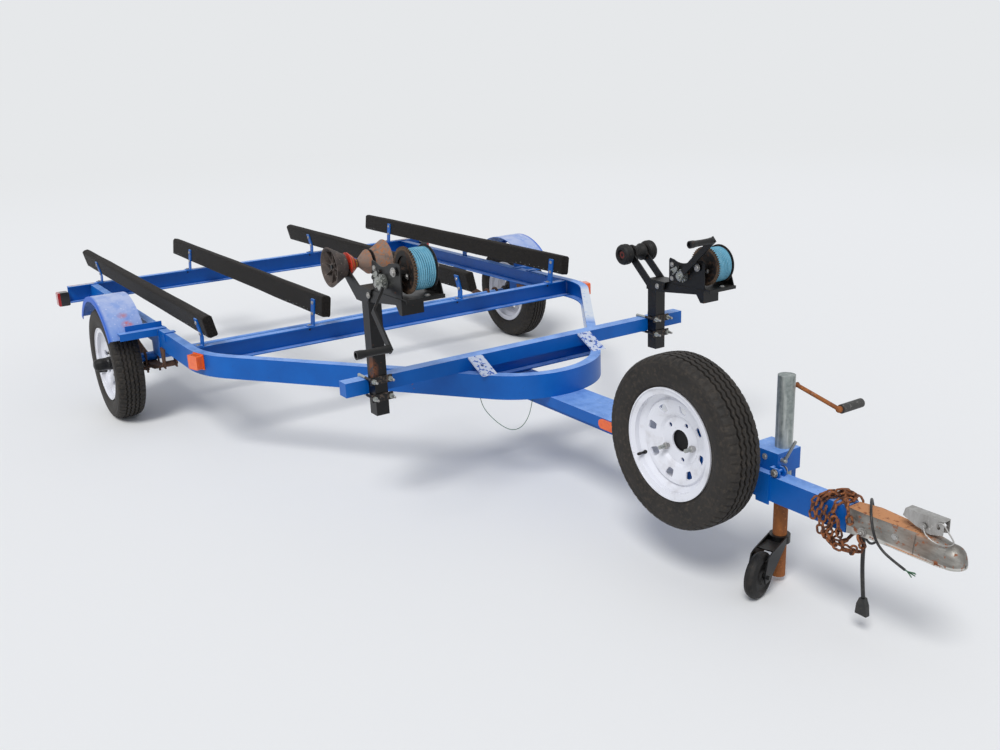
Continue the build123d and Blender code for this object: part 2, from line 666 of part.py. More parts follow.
def spareCarrier():
    """Post and plate beside the tongue, with two studs through the spare's lug holes."""
    x = spareX
    plate = box(x - 75, x + 75, spareY + 5.3, spareY + 11.3, spareZ - 70, spareZ + 60)
    arm = box(x - 22, x + 22, spareY + 11.3, -tongueHalfW, spareZ - 120, spareZ - 76)
    post = box(x - 22, x + 22, spareY + 11.3, spareY + 51, spareZ - 120, spareZ + 40)
    shape = plate + arm + post
    for k in (2, 4):
        a = radians(lugAngle + 72 * k)
        sx, sz = x + boltCircleR * cos(a), spareZ + boltCircleR * sin(a)
        shape += cylY(sx, sz, spareY - 40, spareY + 6, 6)
    return shape


def jackTube():
    outer = cylZ(jackX, jackY, jackOuterBottom, jackTop, jackOuterR)
    outer -= cylZ(jackX, jackY, jackOuterBottom - 1, jackTop - 8, jackInnerR + 0.6)
    return outer


def jackCrank():
    """Shaft out of the tube's side, a round arm and a grip parallel to the shaft."""
    z = jackTop - 40
    yArm = jackY + jackOuterR + 20
    shape = cylY(jackX - 2, z, jackY + jackOuterR + 0.2, yArm + 6, 7)
    length, drop = 154, -13
    a = radians(drop)
    run, rise = length * cos(a), length * sin(a)
    shape += Pos(jackX - 2 + run / 2, yArm, z + rise / 2) * (Rot(0, 90 - drop, 0) * Cylinder(6, length))
    ex, ez = jackX - 2 + run, z + rise
    shape += Pos(ex, yArm, ez) * Sphere(10)
    return shape + cylY(ex + 2, ez, yArm + 5, yArm + 90, 13)


def jackBracket():
    """Box on the tongue that the jack's tube is clamped in, with a plate and two ears on the tongue."""
    z0, z1 = frameBottom, frameBottom + 64
    x0, x1 = jackX - 75, jackX + 34
    y0, y1 = -6, jackY + jackOuterR + 8
    shape = box(x0, x1, y0, y1, z0, z1) - box(x0 + 4, x1 - 4, y0 + 4, y1 - 4, z0 + 4, z1 - 4)
    low = box(x0 + 20, x1 - 14, tongueHalfW, y1, 296, z0 + 4)
    shape += low - box(x0 + 24, x1 - 18, tongueHalfW + 4, y1 - 4, 290, z0)
    shape -= cylZ(jackX, jackY, 280, z1 + 2, jackOuterR + 0.02)
    slot = Rot(0, 90, 0) * Cylinder(8, 20)
    shape -= Pos(x1, 24, z1 - 22) * slot + Pos(x1, 32, z1 - 22) * slot
    side = [(2921, z0 + 5), (2974, z0 + 5), (2974, 279), (2926, 279)]
    shape += plateXZ(side, -tongueHalfW - 4, -tongueHalfW - 0.2)
    shape += box(2921, 2974, -tongueHalfW - 4, y0 + 4, z0, z0 + 6)
    ear = [(2970, z0), (3000, z0), (3004, z0 + 14), (2994, z0 + 26), (2970, z0 + 26)]
    shape += plateXZ(ear, -22, -16) + plateXZ(ear, 2, 8) + cylY(2990, z0 + 15, -28, 13, 5)
    shape += box(2968, 2976, -22, y0 + 2, z0, z0 + 26)
    shape += Pos(x1 + 9, 8, z1 - 20) * (Rot(0, 90, 0) * Cylinder(6, 18))
    handle = Pos(x1 + 30, 8, z1 + 14) * (Rot(0, 27, 0) * Cylinder(4.5, 78))
    return shape + handle + Pos(x1 + 14, 8, z1 - 20) * Sphere(7)


def jackLeg():
    leg = cylZ(jackX, jackY, legBottom, legTop, jackInnerR)
    return leg - cylZ(jackX, jackY, 150, legTop + 1, jackInnerR - 3)


def swivelled(shape):
    """The caster as it stands, turned about the leg."""
    return Pos(jackX, jackY, 0) * (Rot(0, 0, casterTurn) * (Pos(-jackX, -jackY, 0) * shape))


def casterFork():
    """Collar round the leg with an arm and two cheeks that hold the wheel off to one side."""
    z = collarZ
    fork = cylZ(jackX, jackY, z, z + 24, 31)
    fork -= cylZ(jackX, jackY, z - 1, z + 27, jackInnerR + 0.05)
    wy = jackY - casterArm
    for s in (-1, 1):
        lo, hi = sorted((jackX + s * (casterHalfW + 6), jackX + s * (casterHalfW + 10)))
        cheek = [(jackY - 14, z + 24), (jackY - 14, z + 2), (wy + 15, casterR - 15), (wy - 12, casterR - 16),
                 (wy - 16, casterR + 10), (wy + 2, z), (wy + 22, z + 8)]
        fork += plateYZ(cheek, lo, hi)
    fork += box(jackX - casterHalfW - 8, jackX + casterHalfW + 8, wy + 36, jackY - 26, z + 4, z + 8)
    axle = Pos(jackX, wy, casterR) * (Rot(0, 90, 0) * Cylinder(6, 2 * casterHalfW + 32))
    return swivelled(fork + axle)


def casterWheel():
    wy = jackY - casterArm
    w = casterHalfW
    r = casterR
    half = [(6.05, w - 4), (22, w), (26, w - 5), (r - 26, w - 5), (r - 20, w), (r - 5, w - 6), (r, 4)]
    profile = half + [(q, -a) for q, a in reversed(half)]
    face = make_face(Polyline(profile, close=True))
    return swivelled(Pos(jackX, wy, casterR) * (Rot(0, 0, -90) * revolve(face, axis=Axis.Y)))


def leadTube(points, radius):
    """Tube along straight runs joined by tangent arcs, each as large as its two runs allow."""
    at = [Vector(*p) for p in points]
    runs = [b - a for a, b in zip(at, at[1:])]
    radii = []
    for before, after in zip(runs, runs[1:]):
        turn = radians(before.get_angle(after))
        radii.append(0.45 * min(before.length, after.length) / tan(turn / 2))
    path = FilletPolyline(*at, radius=radii)
    tube = sweep(Plane(at[0], z_dir=runs[0]) * Circle(radius), path=path)
    print("lead", round(path.length), "mm, radii", [round(r) for r in radii],
          "volume ratio", round(tube.volume / (pi * radius ** 2 * path.length), 4))
    return tube


def lightPlug():
    """Flat moulded plug on the end of the light lead."""
    x, y, z = plugLead[-1][0], plugLead[-1][1], plugLead[-1][2] - 0.8
    w, t, h = plugSize
    outline = [(x - 7, z), (x + 7, z), (x + w / 2 - 3, z - 20), (x + w / 2, z - h), (x - w / 2, z - h),
               (x - w / 2 + 3, z - 20)]
    return plateXZ(outline, y - t / 2, y + t / 2)


nodes = {}
nodes["right_front_rail"] = bentChannel(-1)
nodes["left_front_rail"] = bentChannel(1)
nodes["nose_hoop"] = bentChannel(0)
nodes["right_side_rail"] = sideRail(-1)
nodes["left_side_rail"] = sideRail(1)
nodes["rear_crossmember"] = channelAcross(rearBeamX, -rearBeamHalf, rearBeamHalf, frameBottom, frameTop)
innerZ = (frameBottom + wall, frameTop - wall)
inside = insideNose(frameBottom, frameTop)
nodes["front_crossmember"] = channelAcross(frontBeamX, -1000, 1000, *innerZ) & insideNose(*innerZ, 2 * wall)
nodes["nose_crossmember"] = channelAcross(noseBeamX, -600, 600, *innerZ) & inside

tube = box(tongueRear, tongueFront, -tongueHalfW, tongueHalfW, frameBottom - tongueH, frameBottom)
nodes["tongue_tube"] = tube - box(tongueRear - 1, tongueFront + 1, -tongueHalfW + 3, tongueHalfW - 3,
                                  frameBottom - tongueH + 3, frameBottom - 3)
bars = Part()
for sign in (-1, 1):
    for k in (0, 1):
        y0 = sign * (tongueHalfW + 0.2 + k * (barW + 0.2))
        y1 = y0 + sign * barW
        bars += box(barRear, barFront, min(y0, y1), max(y0, y1), frameBottom - barH, frameBottom)
nodes["tongue_side_bars"] = bars

bar = box(crossbarX, crossbarX + crossbarSide, -crossbarHalf, crossbarHalf, frameTop, frameTop + crossbarSide)
nodes["winch_crossbar"] = bar - box(crossbarX + 3, crossbarX + crossbarSide - 3, -crossbarHalf + 3,
                                    crossbarHalf + 1, frameTop + 3, frameTop + crossbarSide - 3)
plates = Part()
for sign in (-1, 1):
    x0 = crossbarX + crossbarSide
    outline = [(x0, frameTop + crossbarSide), (x0, frameTop + crossbarSide - 6), (x0 + 88, frameTop),
               (x0 + 99, frameTop)]
    plate = plateXZ(outline, sign * 250 - 30, sign * 250 + 30)
    plates += plate - Pos(x0 + 48, sign * 250, frameTop + 26) * (Rot(0, 28, 0) * Cylinder(7, 40))
nodes["crossbar_tie_plates"] = plates

nodes["coupler"] = couplerBody()
nodes["coupler_latch"] = couplerLatch()
nodes["spare_carrier"] = spareCarrier()
nodes["spare_rim"] = rim(spareX, spareY, spareZ, -1)
nodes["spare_tyre"] = tyre(spareX, spareY, spareZ)

nodes["axle"] = axleBeam()
for side, sign in (("right", -1), ("left", 1)):
    nodes[side + "_fender"] = fender(sign)
    nodes[side + "_rim"] = rim(0, sign * wheelY, axleZ, sign)
    nodes[side + "_tyre"] = tyre(0, sign * wheelY, axleZ)
    nodes[side + "_hub"] = hub(sign)

sides = (-1, 1)
nodes["leaf_springs"] = Part() + [leafSpring(s) for s in sides]
nodes["spring_hangers"] = Part() + [h for s in sides for h in springHangers(s)]
nodes["fender_brackets"] = Part() + [b for s in sides for b in fenderBrackets(s)]
nodes["tail_lights"] = Part() + [tailLight(s) for s in sides]

for name, yMid, lean in bunkRows:
    nodes[name] = bunk(yMid, lean)
beams = (frontBeamX, rearBeamX)
nodes["bunk_brackets"] = Part() + [bunkBracket(x, row[1], row[2]) for x in beams for row in bunkRows]

for side, yMid, top, drumX, rollerZ, angle, offset in postRows:
    nodes[side + "_winch_post"] = winchPost(yMid, top, drumX)
    nodes[side + "_winch_frame"] = winchFrame(yMid, top, drumX)
    nodes[side + "_winch_drum"] = winchDrum(yMid, top, drumX)
    nodes[side + "_winch_rope"] = winchRope(yMid, top, drumX)
    nodes[side + "_winch_crank"] = winchCrank(yMid, top, drumX, angle, offset)
    nodes[side + "_bow_roller"] = bowRoller(side, yMid, rollerZ)

nodes["post_clamps"] = Part() + [postClamps(row[1]) for row in postRows]
nodes["roller_arms"] = Part() + [rollerArms(row[0], row[1], row[2], row[4]) for row in postRows]
nodes["jack_tube"] = jackTube()
nodes["jack_crank"] = jackCrank()
nodes["jack_bracket"] = jackBracket()
nodes["jack_leg"] = jackLeg()
nodes["caster_fork"] = casterFork()
nodes["caster_wheel"] = casterWheel()
nodes["side_markers"] = Part() + [sideMarkers(s) for s in sides]
nodes["plug_lead"] = leadTube(plugLead, plugLeadR)
nodes["light_plug"] = lightPlug()
nodes["earth_lead"] = leadTube(earthLead, earthLeadR)
nodes["nose_wire"] = leadTube(noseWire, noseWireR)

for name, shape in nodes.items():
    export_step(Pos(-midLength, 0, 0) * shape, f"parts/{name}.step")
print(len(nodes), "nodes")
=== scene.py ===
import math
import bmesh
import bpy
import numpy as np
from mathutils import Matrix, Vector


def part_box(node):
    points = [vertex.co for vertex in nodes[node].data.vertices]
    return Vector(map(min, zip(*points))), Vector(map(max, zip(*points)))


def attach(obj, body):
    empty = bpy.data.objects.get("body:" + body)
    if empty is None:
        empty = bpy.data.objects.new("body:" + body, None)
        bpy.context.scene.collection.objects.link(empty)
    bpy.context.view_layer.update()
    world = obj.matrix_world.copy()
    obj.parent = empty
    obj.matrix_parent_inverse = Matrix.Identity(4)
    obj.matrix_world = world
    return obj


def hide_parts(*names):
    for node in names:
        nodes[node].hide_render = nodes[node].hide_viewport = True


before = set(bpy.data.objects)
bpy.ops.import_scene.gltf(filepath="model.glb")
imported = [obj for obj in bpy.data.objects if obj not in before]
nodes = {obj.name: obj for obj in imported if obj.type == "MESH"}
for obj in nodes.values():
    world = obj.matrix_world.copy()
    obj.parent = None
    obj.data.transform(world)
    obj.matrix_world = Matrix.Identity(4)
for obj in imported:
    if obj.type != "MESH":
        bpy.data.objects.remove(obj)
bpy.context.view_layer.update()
print("frame loaded,", len(nodes), "nodes")

# Places are in millimetres, with X measured from the wheel axle, and toFrame moves them into the frame
axleShift = sum(corner.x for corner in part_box("axle")) / 2
wheels = [                # side, centre, which way its face looks along Y, body
    ("left", (0, 1122, 262), 1, "left_wheel"), ("right", (0, -1122, 262), -1, "right_wheel"),
    ("spare", (2753, -158, 442), -1, "trailer")]
drums = {"right": (2035, -657, 914), "left": (2060, 606, 754)}


def toFrame(points):
    # millimetres from the wheel axle, turned to metres in the frame
    return np.asarray(points, float) / 1000 + [axleShift, 0, 0]


def linear(hexColour):
    # an sRGB hex value turned to the linear values that shaders read
    parts = np.array([int(hexColour[i:i + 2], 16) for i in (1, 3, 5)]) / 255
    parts = np.where(parts <= 0.04045, parts / 12.92, ((parts + 0.055) / 1.055) ** 2.4)
    return (*parts.tolist(), 1.0)


def addObject(name, data):
    # an object with the data, linked into the scene
    made = bpy.data.objects.new(name, data)
    bpy.context.scene.collection.objects.link(made)
    return made


# Camera

cameraView = {"place": (3.6869, -2.0854, 1.5027), "yaw": 147.04, "pitch": -17.01, "roll": 2.424, "lens": 36.13}


def makeCamera():
    # looks along yaw and pitch, then rolls about its own line of sight
    c = cameraView
    yaw, pitch, roll = (math.radians(c[k]) for k in ("yaw", "pitch", "roll"))
    forward = np.array([math.cos(pitch) * math.cos(yaw), math.cos(pitch) * math.sin(yaw), math.sin(pitch)])
    level = np.cross(forward, [0, 0, 1.0])
    level /= np.linalg.norm(level)
    down = np.cross(forward, level)
    right = math.cos(roll) * level + math.sin(roll) * down
    up = math.sin(roll) * level - math.cos(roll) * down
    data = bpy.data.cameras.new("studioCamera")
    data.sensor_width = 36
    data.lens = c["lens"]
    camera = addObject("studioCamera", data)
    stance = np.eye(4)
    stance[:3, 0], stance[:3, 1], stance[:3, 2], stance[:3, 3] = right, up, -forward, c["place"]
    camera.matrix_world = Matrix(stance.tolist())
    bpy.context.scene.camera = camera


makeCamera()
print("camera made")


# Materials

def addNode(tree, kind, settings=None, links=None):
    # one node, with its properties or unlinked inputs set, and its inputs linked from sockets
    made = tree.nodes.new(kind)
    for key, value in (settings or {}).items():
        if isinstance(key, str) and hasattr(made, key):
            setattr(made, key, value)
        else:
            made.inputs[key].default_value = value
    for key, socket in (links or {}).items():
        tree.links.new(socket, made.inputs[key])
    return made


def layerMask(tree, coords, where):
    # the product of terms that each go from 0 at low to 1 at high, by a noise, a facing, a place or a distance
    mask = None
    for kind, choice, low, high in where:
        if kind == "noise":            # choice is (size in mm, stretch along x, y, z)
            mapped = addNode(tree, "ShaderNodeMapping", {"Scale": choice[1:]}, {"Vector": coords})
            value = addNode(tree, "ShaderNodeTexNoise", {"Scale": 1000 / choice[0], "Detail": 6.0, "Roughness": 0.62},
                            {"Vector": mapped.outputs[0]}).outputs["Fac"]
        elif kind == "facing":         # choice is 0, 1 or 2 for the part of the normal along x, y or z
            normal = addNode(tree, "ShaderNodeNewGeometry").outputs["Normal"]
            value = addNode(tree, "ShaderNodeSeparateXYZ", links={0: normal}).outputs[choice]
        elif kind == "side":           # choice is 0, 1 or 2 for the place along x, y or z, in mm
            value = addNode(tree, "ShaderNodeSeparateXYZ", links={0: coords}).outputs[choice]
            shift = axleShift if choice == 0 else 0
            low, high = low / 1000 + shift, high / 1000 + shift
        elif kind == "near":           # choice is (place, stretch along x, y, z), and low and high are in mm
            centre = toFrame(choice[0])
            moved = addNode(tree, "ShaderNodeVectorMath", {"operation": "SUBTRACT", 1: tuple(centre)}, {0: coords})
            moved = addNode(tree, "ShaderNodeVectorMath", {"operation": "MULTIPLY", 1: choice[1]},
                            {0: moved.outputs[0]})
            value = addNode(tree, "ShaderNodeVectorMath", {"operation": "LENGTH"},
                            {0: moved.outputs[0]}).outputs["Value"]
            low, high = low / 1000, high / 1000
        ranged = addNode(tree, "ShaderNodeMapRange", {"From Min": low, "From Max": high}, {"Value": value})
        mask = ranged.outputs[0] if mask is None else addNode(
            tree, "ShaderNodeMath", {"operation": "MULTIPLY"}, {0: mask, 1: ranged.outputs[0]}).outputs[0]
    return mask


def makeFinish(name, finish):
    # a base colour with layers over it, each shown where its mask is 1, and a bump of grain and of layers
    material = bpy.data.materials.new(name)
    material.use_nodes = True
    tree = material.node_tree
    tree.nodes.clear()
    coords = addNode(tree, "ShaderNodeTexCoord").outputs["Object"]
    links = {}
    rough, metal = finish["roughness"], finish.get("metallic", 0.0)
    colour = linear(finish["colour"])
    height = None
    for coat in finish["layers"]:
        mask = layerMask(tree, coords, coat["where"])
        if "colour" in coat:
            under = {7: linear(coat["colour"]), "data_type": "RGBA"}
            over = {0: mask}
            (over if "Base Color" in links else under)[6] = links.get("Base Color", colour)
            links["Base Color"] = addNode(tree, "ShaderNodeMix", under, over).outputs[2]
        for key, socket, start in (("roughness", "Roughness", rough), ("metallic", "Metallic", metal)):
            if key in coat:
                under = {3: coat[key]}
                over = {0: mask}
                (over if socket in links else under)[2] = links.get(socket, start)
                links[socket] = addNode(tree, "ShaderNodeMix", under, over).outputs[0]
        if "bump" in coat:             # height of the layer in mm, below the surface where it is negative
            raised = addNode(tree, "ShaderNodeMath", {"operation": "MULTIPLY", 1: coat["bump"]}, {0: mask}).outputs[0]
            height = raised if height is None else addNode(
                tree, "ShaderNodeMath", {}, {0: height, 1: raised}).outputs[0]
    if height is not None:
        links["Normal"] = addNode(tree, "ShaderNodeBump", {"Strength": 1.0, "Distance": 0.001},
                                  {"Height": height}).outputs["Normal"]
    settings = dict(finish.get("shader", {}))
    if "Base Color" not in links:
        settings["Base Color"] = colour
    for socket, value in (("Roughness", rough), ("Metallic", metal)):
        if socket not in links:
            settings[socket] = value
    shader = addNode(tree, "ShaderNodeBsdfPrincipled", settings, links)
    addNode(tree, "ShaderNodeOutputMaterial", links={"Surface": shader.outputs[0]})
    return material


def noiseOf(sizeMm, low, high, stretch=(1, 1, 1)):
    # one term of a mask: a noise of about sizeMm that fades in from low to high
    return ("noise", (sizeMm, *stretch), low, high)


def layer(*where, **shows):
    # a layer that is seen where all its terms are 1, with the colour, roughness, metallic or bump that it shows there
    return {"where": where, **shows}


def speckle(colour, sizeMm, low, high, **shows):
    # a layer of one noise in a colour
    return layer(noiseOf(sizeMm, low, high), colour=colour, **shows)


def grain(sizeMm, bump):
    # a layer of one noise that only raises the surface, by bump in mm
    return layer(noiseOf(sizeMm, 0.3, 0.7), bump=bump)


def coated(look, layers):
    # an earlier look with more layers on top
    return {**looks[look], "layers": looks[look]["layers"] + layers}


looks = {}
# Blue alkyd enamel, brushed and sprayed on hot-rolled steel: a strong blue with a soft gloss on the sides, with a
# painted reflection of the sky making it paler on top, peeled to its primer on the left bend, with brush marks, dust,
# and rust at chips
looks["brushedFrameEnamel"] = {
    "colour": "#0061B8", "roughness": 0.38, "shader": {"IOR": 1.36}, "layers": [
        speckle("#0053A4", 240, 0.35, 0.7),
        # painted reflection: upward faces painted paler blue where the sky's reflection lights the tops
        layer(("facing", 2, 0.6, 0.95), noiseOf(90, 0.1, 0.55), colour="#7EA8E8", roughness=0.45),
        layer(("facing", 2, 0.3, 0.9), noiseOf(14, 0.58, 0.75), colour="#A5C0E8"),
        layer(("near", ((1230, 740, 450), (0.42, 0.6, 1)), 190, 130), ("facing", 2, 0.2, 0.6),
              noiseOf(24, 0.34, 0.42), colour="#D5DCE4", roughness=0.6),
        layer(noiseOf(5, 0.35, 0.65, (0.1, 1, 1)), bump=0.05),
        speckle("#1B2F57", 11, 0.69, 0.72, roughness=0.6),
        speckle("#74462B", 60, 0.70, 0.74, roughness=0.85, bump=-0.1)]}
# The same enamel peeled from zinc primer on the tie plates: whitish, with blue flakes that have hard edges
looks["peeledFrameEnamel"] = {
    "colour": "#2459B4", "roughness": 0.42, "shader": {"IOR": 1.5}, "layers": [
        speckle("#C6CEDF", 13, 0.43, 0.47, roughness=0.6, bump=-0.15),
        layer(noiseOf(60, 0.55, 0.7), noiseOf(13, 0.43, 0.47), colour="#A3B3D6"),
        speckle("#8A7D74", 12, 0.66, 0.69, roughness=0.8)]}
# Blue enamel on the sheet fenders, gone to chalk in the sun: pale, matt, rubbed through to a red coat below; the crest
# is paler from chalk and a painted highlight
looks["chalkedFenderEnamel"] = {
    "colour": "#5582CE", "roughness": 0.5, "shader": {"IOR": 1.45}, "layers": [
        speckle("#7598D6", 150, 0.3, 0.7),
        speckle("#3F74CC", 45, 0.48, 0.7),
        # chalk on the crest, with a painted highlight on the upward faces
        layer(("facing", 2, 0.5, 1.0), noiseOf(60, 0.2, 0.55), colour="#B4C0E0"),
        layer(("near", ((190, -1108, 516), (1.3, 1, 1)), 27, 8), noiseOf(18, 0.3, 0.6), colour="#B07F92"),
        layer(("near", ((230, -1100, 482), (1.3, 1, 1)), 30, 10), noiseOf(18, 0.3, 0.6), colour="#C66A66"),
        layer(noiseOf(9, 0.63, 0.67, (0.15, 1, 1)), colour="#CFD8EC"),
        layer(("side", 1, -1180, -1194), colour="#1F5FC4"),
        layer(("side", 1, 1180, 1194), colour="#1F5FC4"),
        grain(30, 0.3)]}
# Black enamel on folded and welded steel: near black with a dull shine, dusty on top, brown where it is knocked
looks["blackSteelEnamel"] = {
    "colour": "#0A0A0B", "roughness": 0.38, "shader": {"IOR": 1.42}, "layers": [
        layer(("facing", 2, 0.5, 0.95), noiseOf(60, 0.3, 0.7), colour="#2B2927", roughness=0.5),
        speckle("#5B3A27", 14, 0.66, 0.70, roughness=0.8, bump=-0.08),
        layer(("near", ((1810, -682, 548), (1, 1, 0.5)), 26, 10), noiseOf(14, 0.40, 0.48), colour="#7A4A2E",
              roughness=0.85),
        grain(4, 0.06)]}
# Winch frame and crank: the black enamel, with the pawl, ratchet wheel and shaft ends in zinc
looks["winchEnamel"] = coated("blackSteelEnamel", [
    layer(("near", (place, stretch), *reach), noiseOf(8, *fade), colour="#A6A8A3", metallic=0.8, roughness=0.42)
    for place, stretch, reach, fade in (
        ((1955.5, -697, 871.75), (1, 1.2, 1), (30, 26), (0.25, 0.4)),
        ((1980.5, 567, 711.75), (1, 1.2, 1), (30, 26), (0.25, 0.4)),
        ((1913, -690, 889), (1, 4, 1), (27, 25), (0.3, 0.45)),
        ((1938, 573, 729), (1, 4, 1), (27, 25), (0.3, 0.45)))])
# Leaf springs and hangers, black once: flaking scale and dark brown rust with no shine
looks["rustedSpringSteel"] = {
    "colour": "#3A2C25", "roughness": 0.85, "layers": [
        speckle("#5E3E2B", 22, 0.35, 0.65),
        speckle("#7C4D30", 9, 0.55, 0.68),
        speckle("#231F1E", 50, 0.55, 0.7, roughness=0.6),
        grain(5, 0.35)]}
# Bare mild steel left outdoors: orange powder over brown scale, matt, on the jack's leg and its crank
looks["orangeRustedSteel"] = {
    "colour": "#9E602E", "roughness": 0.88, "layers": [
        layer(noiseOf(30, 0.35, 0.65, (1, 1, 0.3)), colour="#744427"),
        speckle("#B9713C", 10, 0.55, 0.7),
        layer(noiseOf(45, 0.62, 0.75, (1, 1, 0.2)), colour="#8D8781", roughness=0.6),
        grain(4, 0.25)]}
# Chain in the same rust, darker where its links rub
looks["rustedChain"] = {
    **looks["orangeRustedSteel"], "colour": "#9A5E36",
    "layers": looks["orangeRustedSteel"]["layers"][:2] + [speckle("#43291F", 14, 0.48, 0.58)]}
# Pressed coupler with most of its zinc gone: grey steel on the walls and the dome, orange rust on top of the trough
looks["pressedCouplerSteel"] = {
    "colour": "#9C9993", "roughness": 0.45, "metallic": 0.55, "layers": [
        layer(noiseOf(28, 0.35, 0.65, (0.3, 1, 1)), colour="#6C6862"),
        layer(("side", 2, 317, 314), colour="#C9C7C1"),
        layer(("facing", 2, 0.1, 0.8), ("side", 0, 3500, 3440), noiseOf(30, 0.2, 0.42), colour="#C48A5E",
              roughness=0.85, metallic=0.0),
        speckle("#8C5331", 16, 0.56, 0.64, roughness=0.85, metallic=0.0),
        layer(noiseOf(6, 0.35, 0.7), bump=0.2)]}
# Zinc plate left outdoors: light grey, soft metallic shine, streaked with white bloom
looks["zincPlate"] = {
    "colour": "#BBBAB8", "roughness": 0.38, "metallic": 0.85, "layers": [
        layer(noiseOf(20, 0.3, 0.7, (1, 1, 0.25)), colour="#95928E", roughness=0.5),
        speckle("#D6D4D0", 9, 0.62, 0.7, metallic=0.3, roughness=0.7),
        grain(30, 0.08)]}
# Hot-dip galvanised jack tube: grey spangle, dull, with long runs down the tube
looks["galvanisedTube"] = {
    "colour": "#9AA19E", "roughness": 0.5, "metallic": 0.7, "layers": [
        speckle("#828A88", 16, 0.4, 0.6),
        layer(noiseOf(14, 0.5, 0.7, (1, 1, 0.08)), colour="#C3C7C3", roughness=0.62),
        layer(("side", 2, 345, 300), noiseOf(18, 0.4, 0.6), colour="#7D6A5B", metallic=0.1)]}
# Needle-felt carpet stapled round a board: matted black fibres, no shine, greyer where boats have rubbed the top
looks["needleFeltCarpet"] = {
    "colour": "#12100E", "roughness": 0.97, "shader": {"IOR": 1.3, "Sheen Weight": 0.05, "Sheen Roughness": 0.5},
    "layers": [
        speckle("#25211D", 7, 0.42, 0.62),
        layer(("facing", 2, 0.3, 0.95), noiseOf(70, 0.3, 0.7, (0.3, 1, 1)), colour="#2B2724"),
        speckle("#4A433D", 3, 0.64, 0.7),
        grain(3.2, 0.5)]}
# Carbon-black tyre rubber: dark grey, satin on the wall, dusty brown in the grooves
looks["tyreRubber"] = {
    "colour": "#1B1917", "roughness": 0.62, "shader": {"IOR": 1.4}, "layers": [
        speckle("#2F2B27", 60, 0.3, 0.7, roughness=0.7),
        speckle("#443D36", 12, 0.5, 0.72, roughness=0.85),
        grain(2.5, 0.08)]}
# White baked enamel on pressed discs: glossy, a little blue, with grime and a few rust specks
looks["whiteBakedEnamel"] = {
    "colour": "#E3E4EA", "roughness": 0.26, "shader": {"IOR": 1.5, "Coat Weight": 0.3, "Coat Roughness": 0.1},
    "layers": [
        speckle("#BDBBBD", 70, 0.52, 0.8, roughness=0.45),
        speckle("#8B6A52", 8, 0.70, 0.73, roughness=0.7)]}
# Hard black rubber of the grips, rollers and caster: satin, scuffed grey
looks["scuffedHardRubber"] = {
    "colour": "#100F0F", "roughness": 0.55, "shader": {"IOR": 1.4}, "layers": [
        speckle("#2E2A27", 24, 0.5, 0.72, roughness=0.75),
        speckle("#4E4741", 6, 0.64, 0.7, roughness=0.85),
        layer(("side", 1, 553, 551), ("near", ((1683, 528, 761), (1, 0, 1)), 16, 12), colour="#6E2E26"),
        grain(9, 0.12)]}
# Cast drum and gears of the winches, black web with rusty teeth and rims
looks["castWinchDrum"] = {
    "colour": "#131110", "roughness": 0.55, "shader": {"IOR": 1.4}, "layers": [
        speckle("#3E2C21", 16, 0.5, 0.62, roughness=0.85),
    ] + [layer(("near", ((x, y + 10, z), (1, 0, 1)), 61, 65), ("near", ((x, y + 10, z), (0, 1, 0)), 12, 9),
               noiseOf(7, 0.3, 0.6), colour="#63503F", roughness=0.85) for x, y, z in drums.values()] + [
        grain(5, 0.12)]}
# Post clamps: black strap plates, with the U-bolts round the bar and their nuts still bright
looks["clampSteel"] = {
    "colour": "#0E0E0F", "roughness": 0.45, "shader": {"IOR": 1.42}, "layers": [
        speckle("#54483F", 10, 0.5, 0.6, roughness=0.7),
        layer(("side", 0, 1771, 1769), colour="#B4B7B2", metallic=0.85, roughness=0.4),
        layer(("side", 0, 1829.5, 1830.5), colour="#B4B7B2", metallic=0.85, roughness=0.4)]}
# Jack crank: rusty round arm with a dark grey plastic grip
looks["rustedJackCrank"] = coated("orangeRustedSteel", [
    layer(("side", 1, 105, 106), colour="#3A3937", roughness=0.6),
    layer(("side", 1, 105, 106), noiseOf(8, 0.55, 0.65), colour="#6B6965", roughness=0.8)])
# Jack bracket: blue enamel, with the clamp handle and its screw left in dull zinc
looks["jackBracketSteel"] = coated("brushedFrameEnamel", [
    layer(("side", 0, 2983, 2985), ("side", 2, 398, 400), colour="#9A9C98", metallic=0.7, roughness=0.45)])
# Spare carrier: blue enamel, its face behind the hub hole painted near black as painted shade
looks["spareCarrierSteel"] = coated("brushedFrameEnamel", [
    # painted shade: the face seen through the spare's hub hole painted near black
    layer(("near", ((2753, -158, 442), (1, 0, 1)), 52, 44), colour="#101012", roughness=0.7),
    layer(("side", 1, -155, -157), colour="#A9ACA8", metallic=0.8, roughness=0.4)])
# Right bow roller: moulded rubber over a painted spool, the spool's near half in red, orange and yellow bands, the
# bells worn grey with brown dust inside
nearHalf = ("side", 1, -643, -645)
looks["wornBellRubber"] = {
    "colour": "#3A322E", "roughness": 0.66, "layers": [
        speckle("#5E524B", 22, 0.42, 0.66, roughness=0.8),
        speckle("#8A7F75", 8, 0.62, 0.68),
        layer(("side", 1, -647, -643), noiseOf(30, 0.2, 0.5), colour="#857063", roughness=0.8),
        layer(("side", 1, -640, -600), noiseOf(12, 0.5, 0.6), colour="#A5683F"),
        layer(("side", 1, -599, -597), ("side", 1, -590, -592), colour="#17110F"),
        layer(("side", 1, -686, -685), nearHalf, colour="#D23A20", roughness=0.45),
    ] + [layer(("side", 1, start, end), nearHalf, colour=colour) for start, end, colour in (
        (-679, -678.5, "#1B1412"), (-676.5, -676, "#DE6A26"), (-669, -668, "#C2301F"), (-661, -660, "#241A17"),
        (-657, -656, "#D08A34"), (-651, -650, "#2E211C"))] + [
        layer(("side", 1, -690, -688), nearHalf, noiseOf(9, 0.56, 0.62), colour="#3A2B26", roughness=0.75),
        grain(7, 0.15)]}
